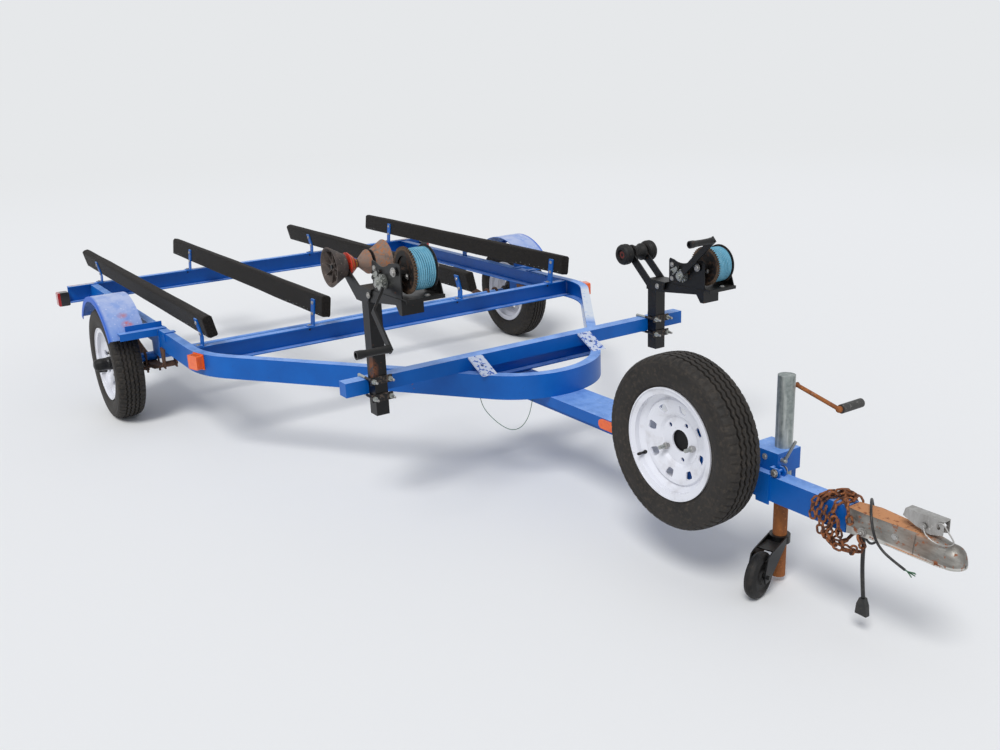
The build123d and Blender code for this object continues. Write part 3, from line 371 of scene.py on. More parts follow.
# Moulded acrylic lenses: glossy, coloured through; the lamps' housings are black
looks["redMouldedAcrylic"] = {
    "colour": "#A3161B", "roughness": 0.18, "shader": {"IOR": 1.49, "Coat Weight": 0.5, "Coat Roughness": 0.08},
    "layers": [
        layer(("side", 0, -1090, -1088), ("side", 1, -1150, -1148), ("side", 1, 1150, 1148), colour="#121213",
              roughness=0.4),
        layer(noiseOf(26, 0.4, 0.7), roughness=0.32)]}
looks["amberMouldedAcrylic"] = {
    "colour": "#F06400", "roughness": 0.22, "shader": {"IOR": 1.49, "Coat Weight": 0.5, "Coat Roughness": 0.08},
    "layers": [
        speckle("#E05200", 18, 0.4, 0.7),
        layer(noiseOf(5, 0.4, 0.6, (1, 1, 0.2)), bump=0.15)]}
# Flexible PVC jackets, black and green: soft shine, scuffed
looks["blackFlexiblePvc"] = {
    "colour": "#161617", "roughness": 0.42, "shader": {"IOR": 1.5}, "layers": [
        speckle("#3A3733", 14, 0.5, 0.68, roughness=0.6)]}
looks["greenFlexiblePvc"] = {
    "colour": "#24583A", "roughness": 0.42, "shader": {"IOR": 1.5}, "layers": [
        speckle("#3C6A48", 14, 0.5, 0.68, roughness=0.6)]}
# Worn retroreflective tape: pale silver vinyl with a red edge to the rear
looks["wornReflectiveTape"] = {
    "colour": "#C9CCD2", "roughness": 0.4, "shader": {"IOR": 1.45}, "layers": [
        layer(("side", 0, -1058, -1059), colour="#B23A34"),
        speckle("#8FA6CC", 16, 0.5, 0.6, roughness=0.55)]}
# Twisted polypropylene winch rope: faded cyan blue, waxy, paler where its strands are rubbed, with painted shade
# between rows
looks["twistedPolypropyleneRope"] = {
    "colour": "#5E9FB8", "roughness": 0.65, "shader": {"IOR": 1.4}, "layers": [
        speckle("#76AFC4", 16, 0.35, 0.7),
        speckle("#A6C8D2", 5, 0.6, 0.7),
    # painted shade: the rope darker where it dips below the crowns of its rows
    ] + [layer(("near", (centre, (1, 0, 1)), 65.6, 64.2), colour="#2C637A") for centre in drums.values()] + [
        layer(noiseOf(2.2, 0.3, 0.7, (1, 0.4, 1)), bump=0.25)]}

finishes = {finishName: makeFinish(finishName, look) for finishName, look in looks.items()}
print("materials made,", len(finishes))

nodeFinish = [            # the first word found in a node's name gives its finish, and the rest are frame blue
    ("fender_brackets", "brushedFrameEnamel"), ("fender", "chalkedFenderEnamel"), ("tyre", "tyreRubber"),
    ("rim", "whiteBakedEnamel"), ("hub", "blackSteelEnamel"), ("caster_fork", "blackSteelEnamel"),
    ("caster_wheel", "scuffedHardRubber"), ("tie_plates", "peeledFrameEnamel"), ("coupler_latch", "zincPlate"),
    ("coupler", "pressedCouplerSteel"), ("jack_crank", "rustedJackCrank"), ("jack_bracket", "jackBracketSteel"),
    ("jack_leg", "orangeRustedSteel"), ("jack_tube", "galvanisedTube"), ("clamps", "clampSteel"),
    ("spare_carrier", "spareCarrierSteel"), ("springs", "rustedSpringSteel"),
    ("hangers", "rustedSpringSteel"), ("drum", "castWinchDrum"), ("winch_crank", "winchEnamel"),
    ("winch_frame", "winchEnamel"), ("winch_post", "blackSteelEnamel"), ("roller_arms", "blackSteelEnamel"),
    ("right_bow_roller", "wornBellRubber"), ("roller", "scuffedHardRubber"), ("bunk_brackets", "brushedFrameEnamel"),
    ("bunk", "needleFeltCarpet"), ("tail_lights", "redMouldedAcrylic"), ("markers", "amberMouldedAcrylic"),
    ("rope", "twistedPolypropyleneRope"), ("lead", "blackFlexiblePvc"), ("plug", "blackFlexiblePvc"),
    ("wire", "greenFlexiblePvc"),
]
for nodeName, nodeObject in nodes.items():
    finishName = next((finish for word, finish in nodeFinish if word in nodeName), "brushedFrameEnamel")
    nodeObject.data.materials.clear()
    nodeObject.data.materials.append(finishes[finishName])


# Cords

leads = [                 # route and radius in mm, length in metres as far as it shows
    {"name": "plugLead", "radius": 5.5, "length": 0.243, "finish": "blackFlexiblePvc", "farEnd": "plug",
     "stiffness": "medium", "node": "plug_lead", "with": ["light_plug"],
     "route": [(3222, 0, 322), (3244, 0, 321), (3263, 0, 309), (3273, 0, 287), (3276, 0, 262), (3275, 1, 215),
               (3280, 0, 160), (3286, 0, 112)]},
    {"name": "earthLead", "radius": 3.5, "length": 0.504, "finish": "blackFlexiblePvc", "farEnd": "bare",
     "stiffness": "medium", "node": "earth_lead", "with": [],
     "route": [(3226, 12, 307), (3248, 13, 303), (3262, 18, 287), (3268, 22, 266), (3272, 36, 252), (3273, 56, 252),
               (3271, 70, 266), (3267, 69, 292), (3262, 60, 325), (3261, 49, 357), (3267, 34, 382), (3281, 12, 392),
               (3299, -13, 391), (3318, -38, 380), (3333, -50, 352), (3344, -50, 320), (3364, -47, 296),
               (3394, -45, 281), (3430, -43, 268)]},
    {"name": "noseWire", "radius": 1.25, "length": 0.345, "finish": "greenFlexiblePvc", "farEnd": "object",
     "stiffness": "limp", "node": "nose_wire", "with": [],
     "route": [(1819, -264, 365.4), (1823, -261, 334), (1838, -243, 296), (1863, -214, 258), (1890, -183, 234),
               (1915, -156, 243), (1934, -137, 279), (1945, -127, 322), (1950, -122, 365.4)]},
]


def makeLead(lead):
    # a NURBS line of order 3 whose control points are the route's points, with a round jacket
    curve = bpy.data.curves.new(lead["name"], "CURVE")
    curve.dimensions = "3D"
    curve.bevel_depth = lead["radius"] / 1000
    curve.bevel_resolution = 4
    curve.use_fill_caps = True
    spline = curve.splines.new("NURBS")
    points = toFrame(lead["route"])
    spline.points.add(len(points) - 1)
    spline.points.foreach_set("co", np.column_stack([points, np.ones(len(points))]).ravel())
    spline.order_u = 3
    spline.use_endpoint_u = True
    spline.resolution_u = 12
    piece = addObject(lead["name"], curve)
    curve.materials.append(finishes[lead["finish"]])
    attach(piece, "trailer")
    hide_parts(lead["node"])


for lead in leads:
    makeLead(lead)
print("leads made,", len(leads))


# Shapes: each is (points, faces), with points in millimetres

def gridFaces(rows, cols, loopRows=False, loopCols=False):
    # four-sided faces between neighbours on a grid of points, round to the start again where it loops
    i, j = np.meshgrid(np.arange(rows if loopRows else rows - 1), np.arange(cols if loopCols else cols - 1),
                       indexing="ij")
    nextI, nextJ = (i + 1) % rows, (j + 1) % cols
    return np.stack([i * cols + j, nextI * cols + j, nextI * cols + nextJ, i * cols + nextJ], -1).reshape(-1, 4)


def turned(centre, axis, profile, sides):
    # a profile of (radius, distance along axis) carried round an axis through centre
    axis = np.asarray(axis, float) / np.linalg.norm(axis)
    across = np.cross(axis, [0.31, 0.53, 0.79] if abs(axis[2]) > 0.9 else [0, 0, 1.0])
    across /= np.linalg.norm(across)
    upwards = np.cross(axis, across)
    radius, along = np.asarray(profile, float).T
    angle = np.arange(sides) * 2 * math.pi / sides
    ring = np.cos(angle)[:, None] * across + np.sin(angle)[:, None] * upwards
    points = np.asarray(centre, float) + radius[None, :, None] * ring[:, None] + along[None, :, None] * axis
    return points.reshape(-1, 3), gridFaces(sides, len(radius), True)


def tube(path, radius, sides, loop, reference):
    # a circle carried along a path and kept square to it; open ends close to a point
    path = np.asarray(path, float)
    ahead = np.roll(path, -1, 0) - np.roll(path, 1, 0) if loop else np.gradient(path, axis=0)
    ahead /= np.linalg.norm(ahead, axis=1)[:, None]
    side = np.cross(ahead, reference)
    side /= np.linalg.norm(side, axis=1)[:, None]
    upwards = np.cross(side, ahead)
    angle = np.arange(sides) * 2 * math.pi / sides
    ring = np.cos(angle)[None, :, None] * side[:, None] + np.sin(angle)[None, :, None] * upwards[:, None]
    points = path[:, None] + ring * radius
    if not loop:
        ends = np.repeat(path[[0, -1]][:, None], sides, axis=1)
        points = np.concatenate([ends[:1], points, ends[1:]])
    return points.reshape(-1, 3), gridFaces(len(points), sides, loop, True)


def slab(outline, across, low, high, bevel):
    # an outline in the plane square to one axis, 0, 1 or 2, given thickness along it, with its edges eased
    outline = np.asarray(outline, float)
    middle = outline.mean(axis=0)
    inner = middle + (outline - middle) * (1 - bevel / np.abs(outline - middle).max())
    rings = [(middle + 0 * outline, low), (inner, low), (outline, low + bevel), (outline, high - bevel),
             (inner, high), (middle + 0 * outline, high)]
    points = np.array([np.insert(ring, across, level, axis=1) for ring, level in rings])
    return points.reshape(-1, 3), gridFaces(6, len(outline), False, True)


def rectangle(a, b, halfA, halfB, corner=2.0):
    # eight corners of an oblong with its corners cut off
    return [(a + sa * (halfA - ca), b + sb * (halfB - cb)) for sa, sb, ca, cb in (
        (-1, -1, corner, 0), (1, -1, corner, 0), (1, -1, 0, corner), (1, 1, 0, corner),
        (1, 1, corner, 0), (-1, 1, corner, 0), (-1, 1, 0, corner), (-1, -1, 0, corner))]


def addPiece(name, shapes, finish, body, smoothAngle=38):
    # one mesh of the shapes, its doubles merged and its faces turned outwards, riding on a body
    points = np.concatenate([shape[0] for shape in shapes])
    starts = np.cumsum([0] + [len(shape[0]) for shape in shapes[:-1]])
    faces = np.concatenate([shape[1] + start for shape, start in zip(shapes, starts)])
    mesh = bpy.data.meshes.new(name)
    mesh.vertices.add(len(points))
    mesh.vertices.foreach_set("co", toFrame(points).ravel())
    mesh.loops.add(faces.size)
    mesh.loops.foreach_set("vertex_index", faces.ravel())
    mesh.polygons.add(len(faces))
    mesh.polygons.foreach_set("loop_start", np.arange(0, faces.size, 4))
    mesh.update(calc_edges=True)
    work = bmesh.new()
    work.from_mesh(mesh)
    bmesh.ops.remove_doubles(work, verts=work.verts, dist=0.00001)
    bmesh.ops.recalc_face_normals(work, faces=work.faces)
    work.to_mesh(mesh)
    work.free()
    mesh.validate()
    mesh.shade_smooth()
    mesh.set_sharp_from_angle(angle=math.radians(smoothAngle))
    mesh.materials.append(finishes[finish])
    piece = addObject(name, mesh)
    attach(piece, body)
    return piece


# Tyres

tyreShape = {"radius": 262, "halfWidth": 62, "wall": (170.6, 258.6, 38), "widest": 210, "rise": 63, "fall": 52,
             "shoulder": (42, 38.5, 34.5), "crown": 3.2, "periods": 60, "perPeriod": 8, "zigzag": 2.6, "groove": 6.5,
             "grooves": (-27.0, -9.5, 9.5, 27.0), "lip": 3.6, "foot": 2.6, "rib": 7.5, "lugDepth": 3.6,
             "lugPart": (0.4, 0.7), "lugsFrom": (33, 247), "lugsEase": (3, 6),
             "rings": ((179, 3.2, 1.6), (190, 2.0, 0.8), (229, 2.4, -1.2), (241, 3.0, 1.6), (250, 2.0, 1.2)),
             "bead": ((45.4, 154.3), (48.4, 168)),
             "liner": ((33, 153.4), (37, 170), (48, 182), (45, 238), (0, 250), (-45, 238), (-48, 182), (-37, 170),
                       (-33, 153.4))}


def tyreShell(centre):
    # Round the axle by down the section. The wall's half width is 62 (1 - |(r - 210) / w| ^ p) ^ (1 / p), with w 63
    # and p 2 inside r 210 and w 52 and p 4 outside it, plus a bell curve for each raised ring; the tread is a crown
    # that falls with the cube of the place across, cut by grooves whose edges swing in a triangle wave, and notched
    # once in each period at the shoulder
    t = tyreShape
    steps = t["periods"] * t["perPeriod"]
    cutFrom, cutTo = t["lugPart"]
    (lugAcross, lugRadius), (easeAcross, easeRadius) = t["lugsFrom"], t["lugsEase"]
    angle = np.arange(steps) * 2 * math.pi / steps
    r = np.linspace(*t["wall"])
    inner = t["halfWidth"] * np.sqrt(np.clip(1 - ((t["widest"] - r) / t["rise"]) ** 2, 0, 1))
    outer = t["halfWidth"] * np.clip(1 - np.abs((r - t["widest"]) / t["fall"]) ** 4, 0, 1) ** 0.25
    wall = np.where(r < t["widest"], inner, outer)
    for ringR, ringW, ringH in t["rings"]:
        wall = wall + ringH * np.exp(-((r - ringR) / ringW) ** 2)
    wall = np.minimum(wall, t["halfWidth"])
    tread = [(place, 0.0, 0) for place in t["shoulder"]]         # place across, depth, swing
    for middle in t["grooves"][::-1]:
        if middle in t["grooves"][1:3]:
            tread.append((middle + t["rib"], 0.0, 1))
        tread += [(middle + t["lip"], 0.0, 1), (middle + t["foot"], t["groove"], 1),
                  (middle - t["foot"], t["groove"], 1), (middle - t["lip"], 0.0, 1)]
    tread += [(-place, 0.0, 0) for place in t["shoulder"][::-1]]
    across, depth, swing = np.array(tread).T
    crown = t["radius"] - t["crown"] * np.abs(across / t["shoulder"][0]) ** 3 - depth
    bead, liner = np.array(t["bead"]), np.array(t["liner"])
    column = np.concatenate([bead[:, 0], wall, across, -wall[::-1], -bead[::-1, 0], liner[::-1, 0]])
    radius = np.concatenate([bead[:, 1], r, crown, r[::-1], bead[::-1, 1], liner[::-1, 1]])
    moves = np.concatenate([np.zeros(len(wall) + 2), swing, np.zeros(len(wall) + 2 + len(liner))])
    phase = (np.arange(steps) % t["perPeriod"]) / t["perPeriod"]
    wave = (np.abs(phase - 0.5) * 4 - 1) * t["zigzag"]
    notch = ((phase > cutFrom) & (phase < cutTo)) * t["lugDepth"]
    edge = np.clip((np.abs(column) - lugAcross) / easeAcross, 0, 1) * np.clip((radius - lugRadius) / easeRadius, 0, 1)
    y = centre[1] + column[None] + wave[:, None] * moves[None]
    rad = radius[None] - notch[:, None] * edge[None]
    x = centre[0] + rad * np.cos(angle)[:, None]
    z = centre[2] + rad * np.sin(angle)[:, None]
    points = np.stack([x, y, z], -1)
    return points.reshape(-1, 3), gridFaces(steps, len(column), True, True)


for side, centre, outward, body in wheels:
    piece = addPiece(side + "Tyre", [tyreShell(centre)], "tyreRubber", body, 50)
    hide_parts(side + "_tyre")
print("tyres made")


# Bunks

bunkShape = {"rear": -1400, "front": 800, "half": (22.0, 47.5), "middleZ": 544.5, "steps": 130, "round": 56,
             "topRound": 14.0, "lowRound": 9.0, "fold": (0.0, 0.3, 0.9, 2.2, 4.6), "tuck": (0.0, 0.55, 0.9, 0.965, 1.0),
             "slack": 0.4, "sharp": 1.28, "ripple": 0.32, "waves": (70, 43), "inset": 0.9, "seam": 1.1}
bunkRows = [              # node, place across in mm, lean in degrees
    ("bunk_outer_right", -905, -13), ("bunk_inner_right", -392, 7), ("bunk_inner_left", 350, -13),
    ("bunk_outer_left", 905, 7)]


def leaned(yMid, lean, across, height):
    # y and z of places across and up a board that leans about its middle line
    t = math.radians(lean)
    return (yMid + across * math.cos(t) + height * math.sin(t),
            bunkShape["middleZ"] - across * math.sin(t) + height * math.cos(t))


def carpetWrap(yMid, lean, seed):
    # Along the board by round its section. The section is an oblong with a quarter circle at each corner, scaled by
    # 1 plus six slow sine waves and a lapped seam below, and it closes to a point over the fold at each end
    b = bunkShape
    rng = np.random.default_rng(seed)
    half = np.array(b["half"]) - b["slack"]
    along = np.linspace(b["rear"], b["front"], b["steps"])
    fold, tuck = np.array(b["fold"]), np.array(b["tuck"])
    x = np.concatenate([b["rear"] + fold, along[1:-1], b["front"] - fold[::-1]])
    size = np.concatenate([tuck, np.ones(len(along) - 2), tuck[::-1]])
    angle = np.arange(b["round"]) * 2 * math.pi / b["round"]
    corner = np.where(np.sin(angle) > 0, b["topRound"], b["lowRound"])
    quarter = np.floor(angle / (math.pi / 2)) * math.pi / 2 + math.pi / 4
    turn = quarter + np.clip((angle - quarter) * b["sharp"], -math.pi / 4, math.pi / 4)
    wide = np.sign(np.cos(quarter)) * (half[0] - corner) + corner * np.cos(turn)
    tall = np.sign(np.sin(quarter)) * (half[1] - corner) + corner * np.sin(turn)
    phases = rng.uniform(0, 2 * math.pi, 6)
    first, step = b["waves"]
    ripple = sum(b["ripple"] * np.sin(x[:, None] / (first + step * k) + phases[k] + (k + 1) * angle[None])
                 for k in range(6))
    seam = b["seam"] * np.clip(np.cos(angle + math.pi / 2) * 6 - 4.6, 0, 1) * (np.cos(angle) > 0.02)
    swell = 1 + (ripple - b["inset"] + seam[None]) / half[1] * (size[:, None] > 0.9)
    y, z = leaned(yMid, lean, wide[None] * size[:, None] * swell, tall[None] * size[:, None] * swell)
    points = np.stack([np.broadcast_to(x[:, None], y.shape), y, z], -1)
    return points.reshape(-1, 3), gridFaces(len(x), b["round"], False, True)


stapleShape = {"low": -34, "sway": 3, "half": (4.5, 0.7), "corner": 0.3, "out": 0.2, "proud": 0.9, "sunk": 0.5,
               "bevel": 0.2}


def stapleRow(yMid, lean, first, last, count):
    # dull wire staples near the lower edge of the -Y side, each a flat crown a little proud of the felt
    s = stapleShape
    shapes = []
    for x in np.linspace(first, last, count):
        y, z = leaned(yMid, lean, -bunkShape["half"][0] - s["out"], s["low"] + s["sway"] * math.sin(x))
        shapes.append(slab(rectangle(x, z, *s["half"], s["corner"]), 1, y - s["proud"], y + s["sunk"], s["bevel"]))
    return shapes


for seed, (node, yMid, lean) in enumerate(bunkRows):
    pieceName = "carpet" + "".join(word.capitalize() for word in node.split("_")[1:])
    piece = addPiece(pieceName, [carpetWrap(yMid, lean, seed + 3)], "needleFeltCarpet", "trailer", 60)
    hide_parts(node)
    addPiece(pieceName + "Staples", stapleRow(yMid, lean, 400, 770, 10) + stapleRow(yMid, lean, -1370, -1250, 5),
             "galvanisedTube", "trailer")
print("bunks made")


# Winch ropes

ropeShape = {"wraps": 9, "start": 14.4, "end": 83.6, "core": 32.1, "outer": 67.6, "perTurn": 240, "perWrap": 10,
             "lay": 22.0, "strand": 0.8, "inset": 0.8, "sag": 0.49}


def ropeRows(centre):
    # Round the drum by along it: half circles side by side that creep one pitch in each turn, cut by |cos| of one and
    # a half times the twist for three strands to a lay, with a slow sag; both ends drop to the core
    r = ropeShape
    pitch = (r["end"] - r["start"]) / r["wraps"]
    cols = r["wraps"] * r["perWrap"] + 1
    angle = np.arange(r["perTurn"]) * 2 * math.pi / r["perTurn"]
    along = np.linspace(0, r["end"] - r["start"], cols)
    turn = along[None] / pitch + angle[:, None] / (2 * math.pi)
    inside = turn % 1.0
    bulge = np.sqrt(np.clip(1 - (2 * inside - 1) ** 2, 0.02, 1)) * pitch / 2
    run = (np.floor(turn) + angle[:, None] / (2 * math.pi)) * 2 * math.pi * r["outer"]
    twist = 2 * math.pi * run / r["lay"] + math.pi * inside
    strand = r["strand"] * np.abs(np.cos(1.5 * twist)) - r["strand"]
    sag = r["sag"] * np.sin(angle[:, None] * 2 + along[None] / 9)
    radius = r["outer"] - pitch / 2 - r["inset"] + bulge + strand + sag
    radius = np.concatenate([np.full((len(angle), 1), r["core"]), radius, np.full((len(angle), 1), r["core"])], 1)
    across = np.concatenate([[r["start"]], r["start"] + along, [r["end"]]])
    x = centre[0] + radius * np.cos(angle)[:, None]
    z = centre[2] + radius * np.sin(angle)[:, None]
    y = np.broadcast_to(centre[1] + across[None], x.shape)
    return np.stack([x, y, z], -1).reshape(-1, 3), gridFaces(len(angle), len(across), True, True)


for side, centre in drums.items():
    piece = addPiece(side + "RopeOnDrum", [ropeRows(centre)], "twistedPolypropyleneRope", side + "_winch_drum",
                     60)
    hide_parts(side + "_winch_rope")
print("ropes made")


# Chain

chainShape = {"wire": 3.3, "length": 31.0, "width": 21.0, "around": 14, "sides": 6, "spacing": 22.5,
              "sway": 14}


def chainLinks(path):
    # Links along a path, each turned a quarter from the one before it and swayed by some degrees. A link is a tube
    # along half circles joined by straight runs
    c = chainShape
    path = np.asarray(path, float)
    runs = np.concatenate([[0], np.cumsum(np.linalg.norm(np.diff(path, axis=0), axis=1))])
    count = int(runs[-1] // c["spacing"])
    where = (np.arange(count) + 0.5) * runs[-1] / count
    middle = np.stack([np.interp(where, runs, path[:, k]) for k in range(3)], -1)
    ahead = np.stack([np.interp(where + 4, runs, path[:, k]) - np.interp(where - 4, runs, path[:, k])
                      for k in range(3)], -1)
    ahead /= np.linalg.norm(ahead, axis=1)[:, None]
    angle = np.arange(c["around"]) * 2 * math.pi / c["around"]
    straight = (c["length"] - c["width"]) / 2
    lengthwise = np.cos(angle) * (c["width"] / 2 - c["wire"]) + np.sign(np.cos(angle)) * straight
    sideways = np.sin(angle) * (c["width"] / 2 - c["wire"])
    shapes = []
    for k in range(count):
        first = np.cross(ahead[k], [0.2, 0.9, 0.35])
        first /= np.linalg.norm(first)
        second = np.cross(ahead[k], first)
        tilt = math.radians(45 + 90 * (k % 2) + c["sway"] * math.sin(k * 2.3))
        side = math.cos(tilt) * first + math.sin(tilt) * second
        loop = middle[k] + lengthwise[:, None] * ahead[k] + sideways[:, None] * side
        shapes.append(tube(loop, c["wire"], c["sides"], True, np.cross(ahead[k], side)))
    return shapes


def smoothLine(points, steps=160):
    # a Catmull-Rom line through the points: a cubic in t between each two, from them and their neighbours
    points = np.asarray(points, float)
    points = np.concatenate([2 * points[:1] - points[1:2], points, 2 * points[-1:] - points[-2:-1]])
    at = np.linspace(0, len(points) - 3 - 1e-6, steps)
    k = at.astype(int)
    t = (at - k)[:, None]
    p0, p1, p2, p3 = (points[k + n] for n in range(4))
    return 0.5 * (2 * p1 + (p2 - p0) * t + (2 * p0 - 5 * p1 + 4 * p2 - p3) * t ** 2
                  + (3 * p1 - p0 - 3 * p2 + p3) * t ** 3)


chainRuns = [             # rounds that lie over the tongue and hang in loops below it
    [(3168, -41, 268), (3162, -42, 320), (3168, -37, 362), (3180, -22, 378), (3190, 0, 377), (3196, 22, 378),
     (3198, 38, 362), (3196, 41, 318), (3190, 36, 282), (3184, 16, 262), (3180, -8, 256), (3172, -30, 258)],
    [(3262, -44, 330), (3256, -44, 356), (3244, -36, 376), (3226, -18, 379), (3208, -4, 381), (3196, 12, 385),
     (3212, 26, 379), (3226, 40, 362), (3232, 43, 322), (3226, 36, 282), (3216, 14, 254), (3206, -12, 246),
     (3196, -34, 262), (3202, -44, 300), (3216, -46, 336)],
    [(3226, -46, 330), (3234, -48, 292), (3246, -40, 262), (3262, -24, 247), (3280, -12, 252), (3292, -28, 276),
     (3288, -44, 306)],
    [(3140, -38, 300), (3134, -38, 330), (3144, -36, 358), (3166, -24, 374), (3192, -12, 388), (3214, 4, 392),
     (3232, 14, 379), (3228, -10, 377), (3214, -30, 374), (3206, -40, 352), (3198, -42, 316), (3186, -42, 284),
     (3174, -30, 262), (3186, -14, 248), (3208, -30, 244)],
    [(3182, -40, 352), (3176, -43, 312), (3182, -43, 276), (3200, -36, 252), (3224, -30, 243), (3246, -20, 240),
     (3268, -30, 250), (3276, -40, 272)],
    [(3216, 30, 376), (3196, 20, 377), (3178, 6, 377), (3160, -14, 375), (3152, -32, 366), (3148, -40, 344)],
]
chain = [link for run in chainRuns for link in chainLinks(smoothLine(run))]
addPiece("safetyChain", chain, "rustedChain", "trailer", 60)
print("chain made,", len(chain), "links")


# Fasteners

boltShape = {"height": 0.62, "shoulder": 0.8, "flat": 0.86, "washer": 1.35, "shank": 0.52, "tip": 0.4,
             "washerTop": 1.6}          # shares of the size or the height, and the washer's top in mm


def hexBolt(centre, axis, size, washer=True, stud=0.0):
    # a six-sided head, size from its middle to its corners, on a washer, and a bolt's end past it where stud is given
    b = boltShape
    height, wide, thick = size * b["height"], size * b["washer"], size * b["shank"]
    shapes = [turned(centre, axis, [(0, -0.5), (size, -0.5), (size, height * b["shoulder"]),
                                    (size * b["flat"], height), (0, height)], 6)]
    if washer:
        shapes.append(turned(centre, axis, [(0, -1), (wide, -1), (wide, b["washerTop"]), (0, b["washerTop"])], 20))
    if stud:
        end = height + stud
        shapes.append(turned(centre, axis, [(0, 0), (thick, 0), (thick, end - 1), (size * b["tip"], end), (0, end)],
                             10))
    return shapes


def addBolts(name, bolts, body="trailer"):
    # several bolts, each a list of shapes, as one zinc-plated piece
    addPiece(name, [shape for bolt in bolts for shape in bolt], "zincPlate", body)


def onWheel(centre, outward, radius, degrees, seat):
    # a place on a circle round the wheel's axis, seat outward from the wheel's middle
    a = math.radians(degrees)
    return centre[0] + radius * math.cos(a), centre[1] + seat * outward, centre[2] + radius * math.sin(a)


# the spare wheel hangs on two nuts
lugShape = {"circle": 57.15, "from": 65, "step": 72, "seat": 4, "spare": (2, 4),
            "profile": [(0, 1), (7.5, 1), (10.5, 6), (10.5, 15), (8.5, 17.5), (0, 17.5)]}
for side, centre, outward, body in wheels:
    places = [onWheel(centre, outward, lugShape["circle"], lugShape["from"] + lugShape["step"] * k, lugShape["seat"])
              for k in lugShape.get(side, range(5))]
    addBolts(side + "LugNuts", [[turned(at, (0, outward, 0), lugShape["profile"], 6)] for at in places], body)

bracketShape = {"beams": ((-1069, 455), (694, 450)), "along": 19, "proud": 0.4, "wallBolts": (551, 503), "out": 6,
                "bend": 490, "footOut": 22, "footHalf": 5}       # beams are (place along, top of the frame there)
bracketBolts, bracketBacks = [], []
for beamX, seat in bracketShape["beams"]:
    for node, yMid, lean in bunkRows:
        x, slope = beamX + bracketShape["along"], math.tan(math.radians(lean))
        faceY = yMid - bunkShape["half"][0] / math.cos(math.radians(lean)) - bracketShape["proud"]
        for z in bracketShape["wallBolts"]:
            y = faceY + slope * (z - bunkShape["middleZ"]) - bracketShape["out"]
            bracketBolts.append(hexBolt((x, y, z), (0, -1, -slope), 7.0))
        y = faceY + slope * (bracketShape["bend"] - bunkShape["middleZ"]) - bracketShape["footOut"]
        bracketBolts.append(hexBolt((x, y, seat + bracketShape["footHalf"]), (0, 0, 1), 7.5))
        bracketBacks += hexBolt((x, y, seat - bracketShape["footHalf"]), (0, 0, -1), 7.5, True, 9)
addBolts("bunkBolts", bracketBolts)
addPiece("bunkFootNuts", bracketBacks, "blackSteelEnamel", "trailer")

addBolts("couplerBolts", [
    hexBolt((3293, -33.2, 316), (0, -1, 0), 9.5, True, 5), hexBolt((3386, -29, 336), (0, -1, 0), 7.5),
    hexBolt((3293, 33.2, 316), (0, 1, 0), 9.5), hexBolt((3386, 29, 336), (0, 1, 0), 7.5, True, 4),
    hexBolt((3452, -18, 388), (0, -1, 0), 6.5), hexBolt((3452, 18, 388), (0, 1, 0), 6.5)])
addBolts("jackBolts", [
    hexBolt((2990, -28, 381), (0, -1, 0), 9), hexBolt((2990, 13, 381), (0, 1, 0), 9),
    hexBolt((2890, -6, 410), (0, -1, 0), 7), hexBolt((2935, -6, 410), (0, -1, 0), 7)])

# places from the middle of each drum
armFaces = {"right": (-34, 61), "left": (-42, 34)}       # near and far faces of the roller arms, along Y
for side, (x, y, z) in drums.items():
    near, far = armFaces[side]
    addBolts(side + "WinchBolts", [hexBolt((x + dx, y + dy, z + dz), axis, size) for dx, dy, dz, axis, size in (
        (0, -33, 0, (0, -1, 0), 11), (0, 119, 0, (0, 1, 0), 11), (-143, -26, -8, (0, -1, 0), 7.5),
        (-143, -26, -62, (0, -1, 0), 7), (-100, 60, -80, (0, 0, 1), 8), (40, 60, -80, (0, 0, 1), 8))])
    addBolts(side + "RopeClamp", [hexBolt((x + 14, y + 6, z - 17), (0, -1, 0), 7),
                                  hexBolt((x - 20, y + 89, z + 22), (0, 1, 0), 7)], side + "_winch_drum")
    addBolts(side + "ArmBolts", [hexBolt((1850, y + near, z - 102), (0, -1, 0), 8),
                                 hexBolt((1850, y + far, z - 102), (0, 1, 0), 8)])
addBolts("postClampNuts", [hexBolt((1830, centre[1] + dy, z), (1, 0, 0), 8.6, False, 24)
                           for centre in drums.values() for dy in (-31, 31) for z in (449.7, 511.1)])
print("fasteners made")


# Wire clip of the coupler's latch

clipLine = smoothLine([(3488, -12, 397), (3490, -18, 408), (3503, -17, 412), (3518, -16, 396), (3534, -16, 376),
                       (3528, -20, 366), (3510, -26, 362), (3488, -31, 366), (3468, -30, 376), (3456, -22, 386)], 70)
addPiece("latchClip", [tube(clipLine, 1.8, 8, False, (0, 1, 0.2))], "zincPlate", "trailer")

# Pressed neck that runs from the trough into the ball dome

neckShape = {"from": 3438.0, "to": 3561.0, "dome": 3527.0, "radius": 34.4, "steps": 32, "round": 29, "drop": 5.2,
             "section": ((0, 34.3, 309.5), (0.34, 24.4, 363), (0.38, 21, 367.4), (0.62, -21, 367.4), (0.66, -24.4, 363),
                         (1, -34.3, 309.5)), "wall": 0.002}     # share of the way round, y and z; wall in metres


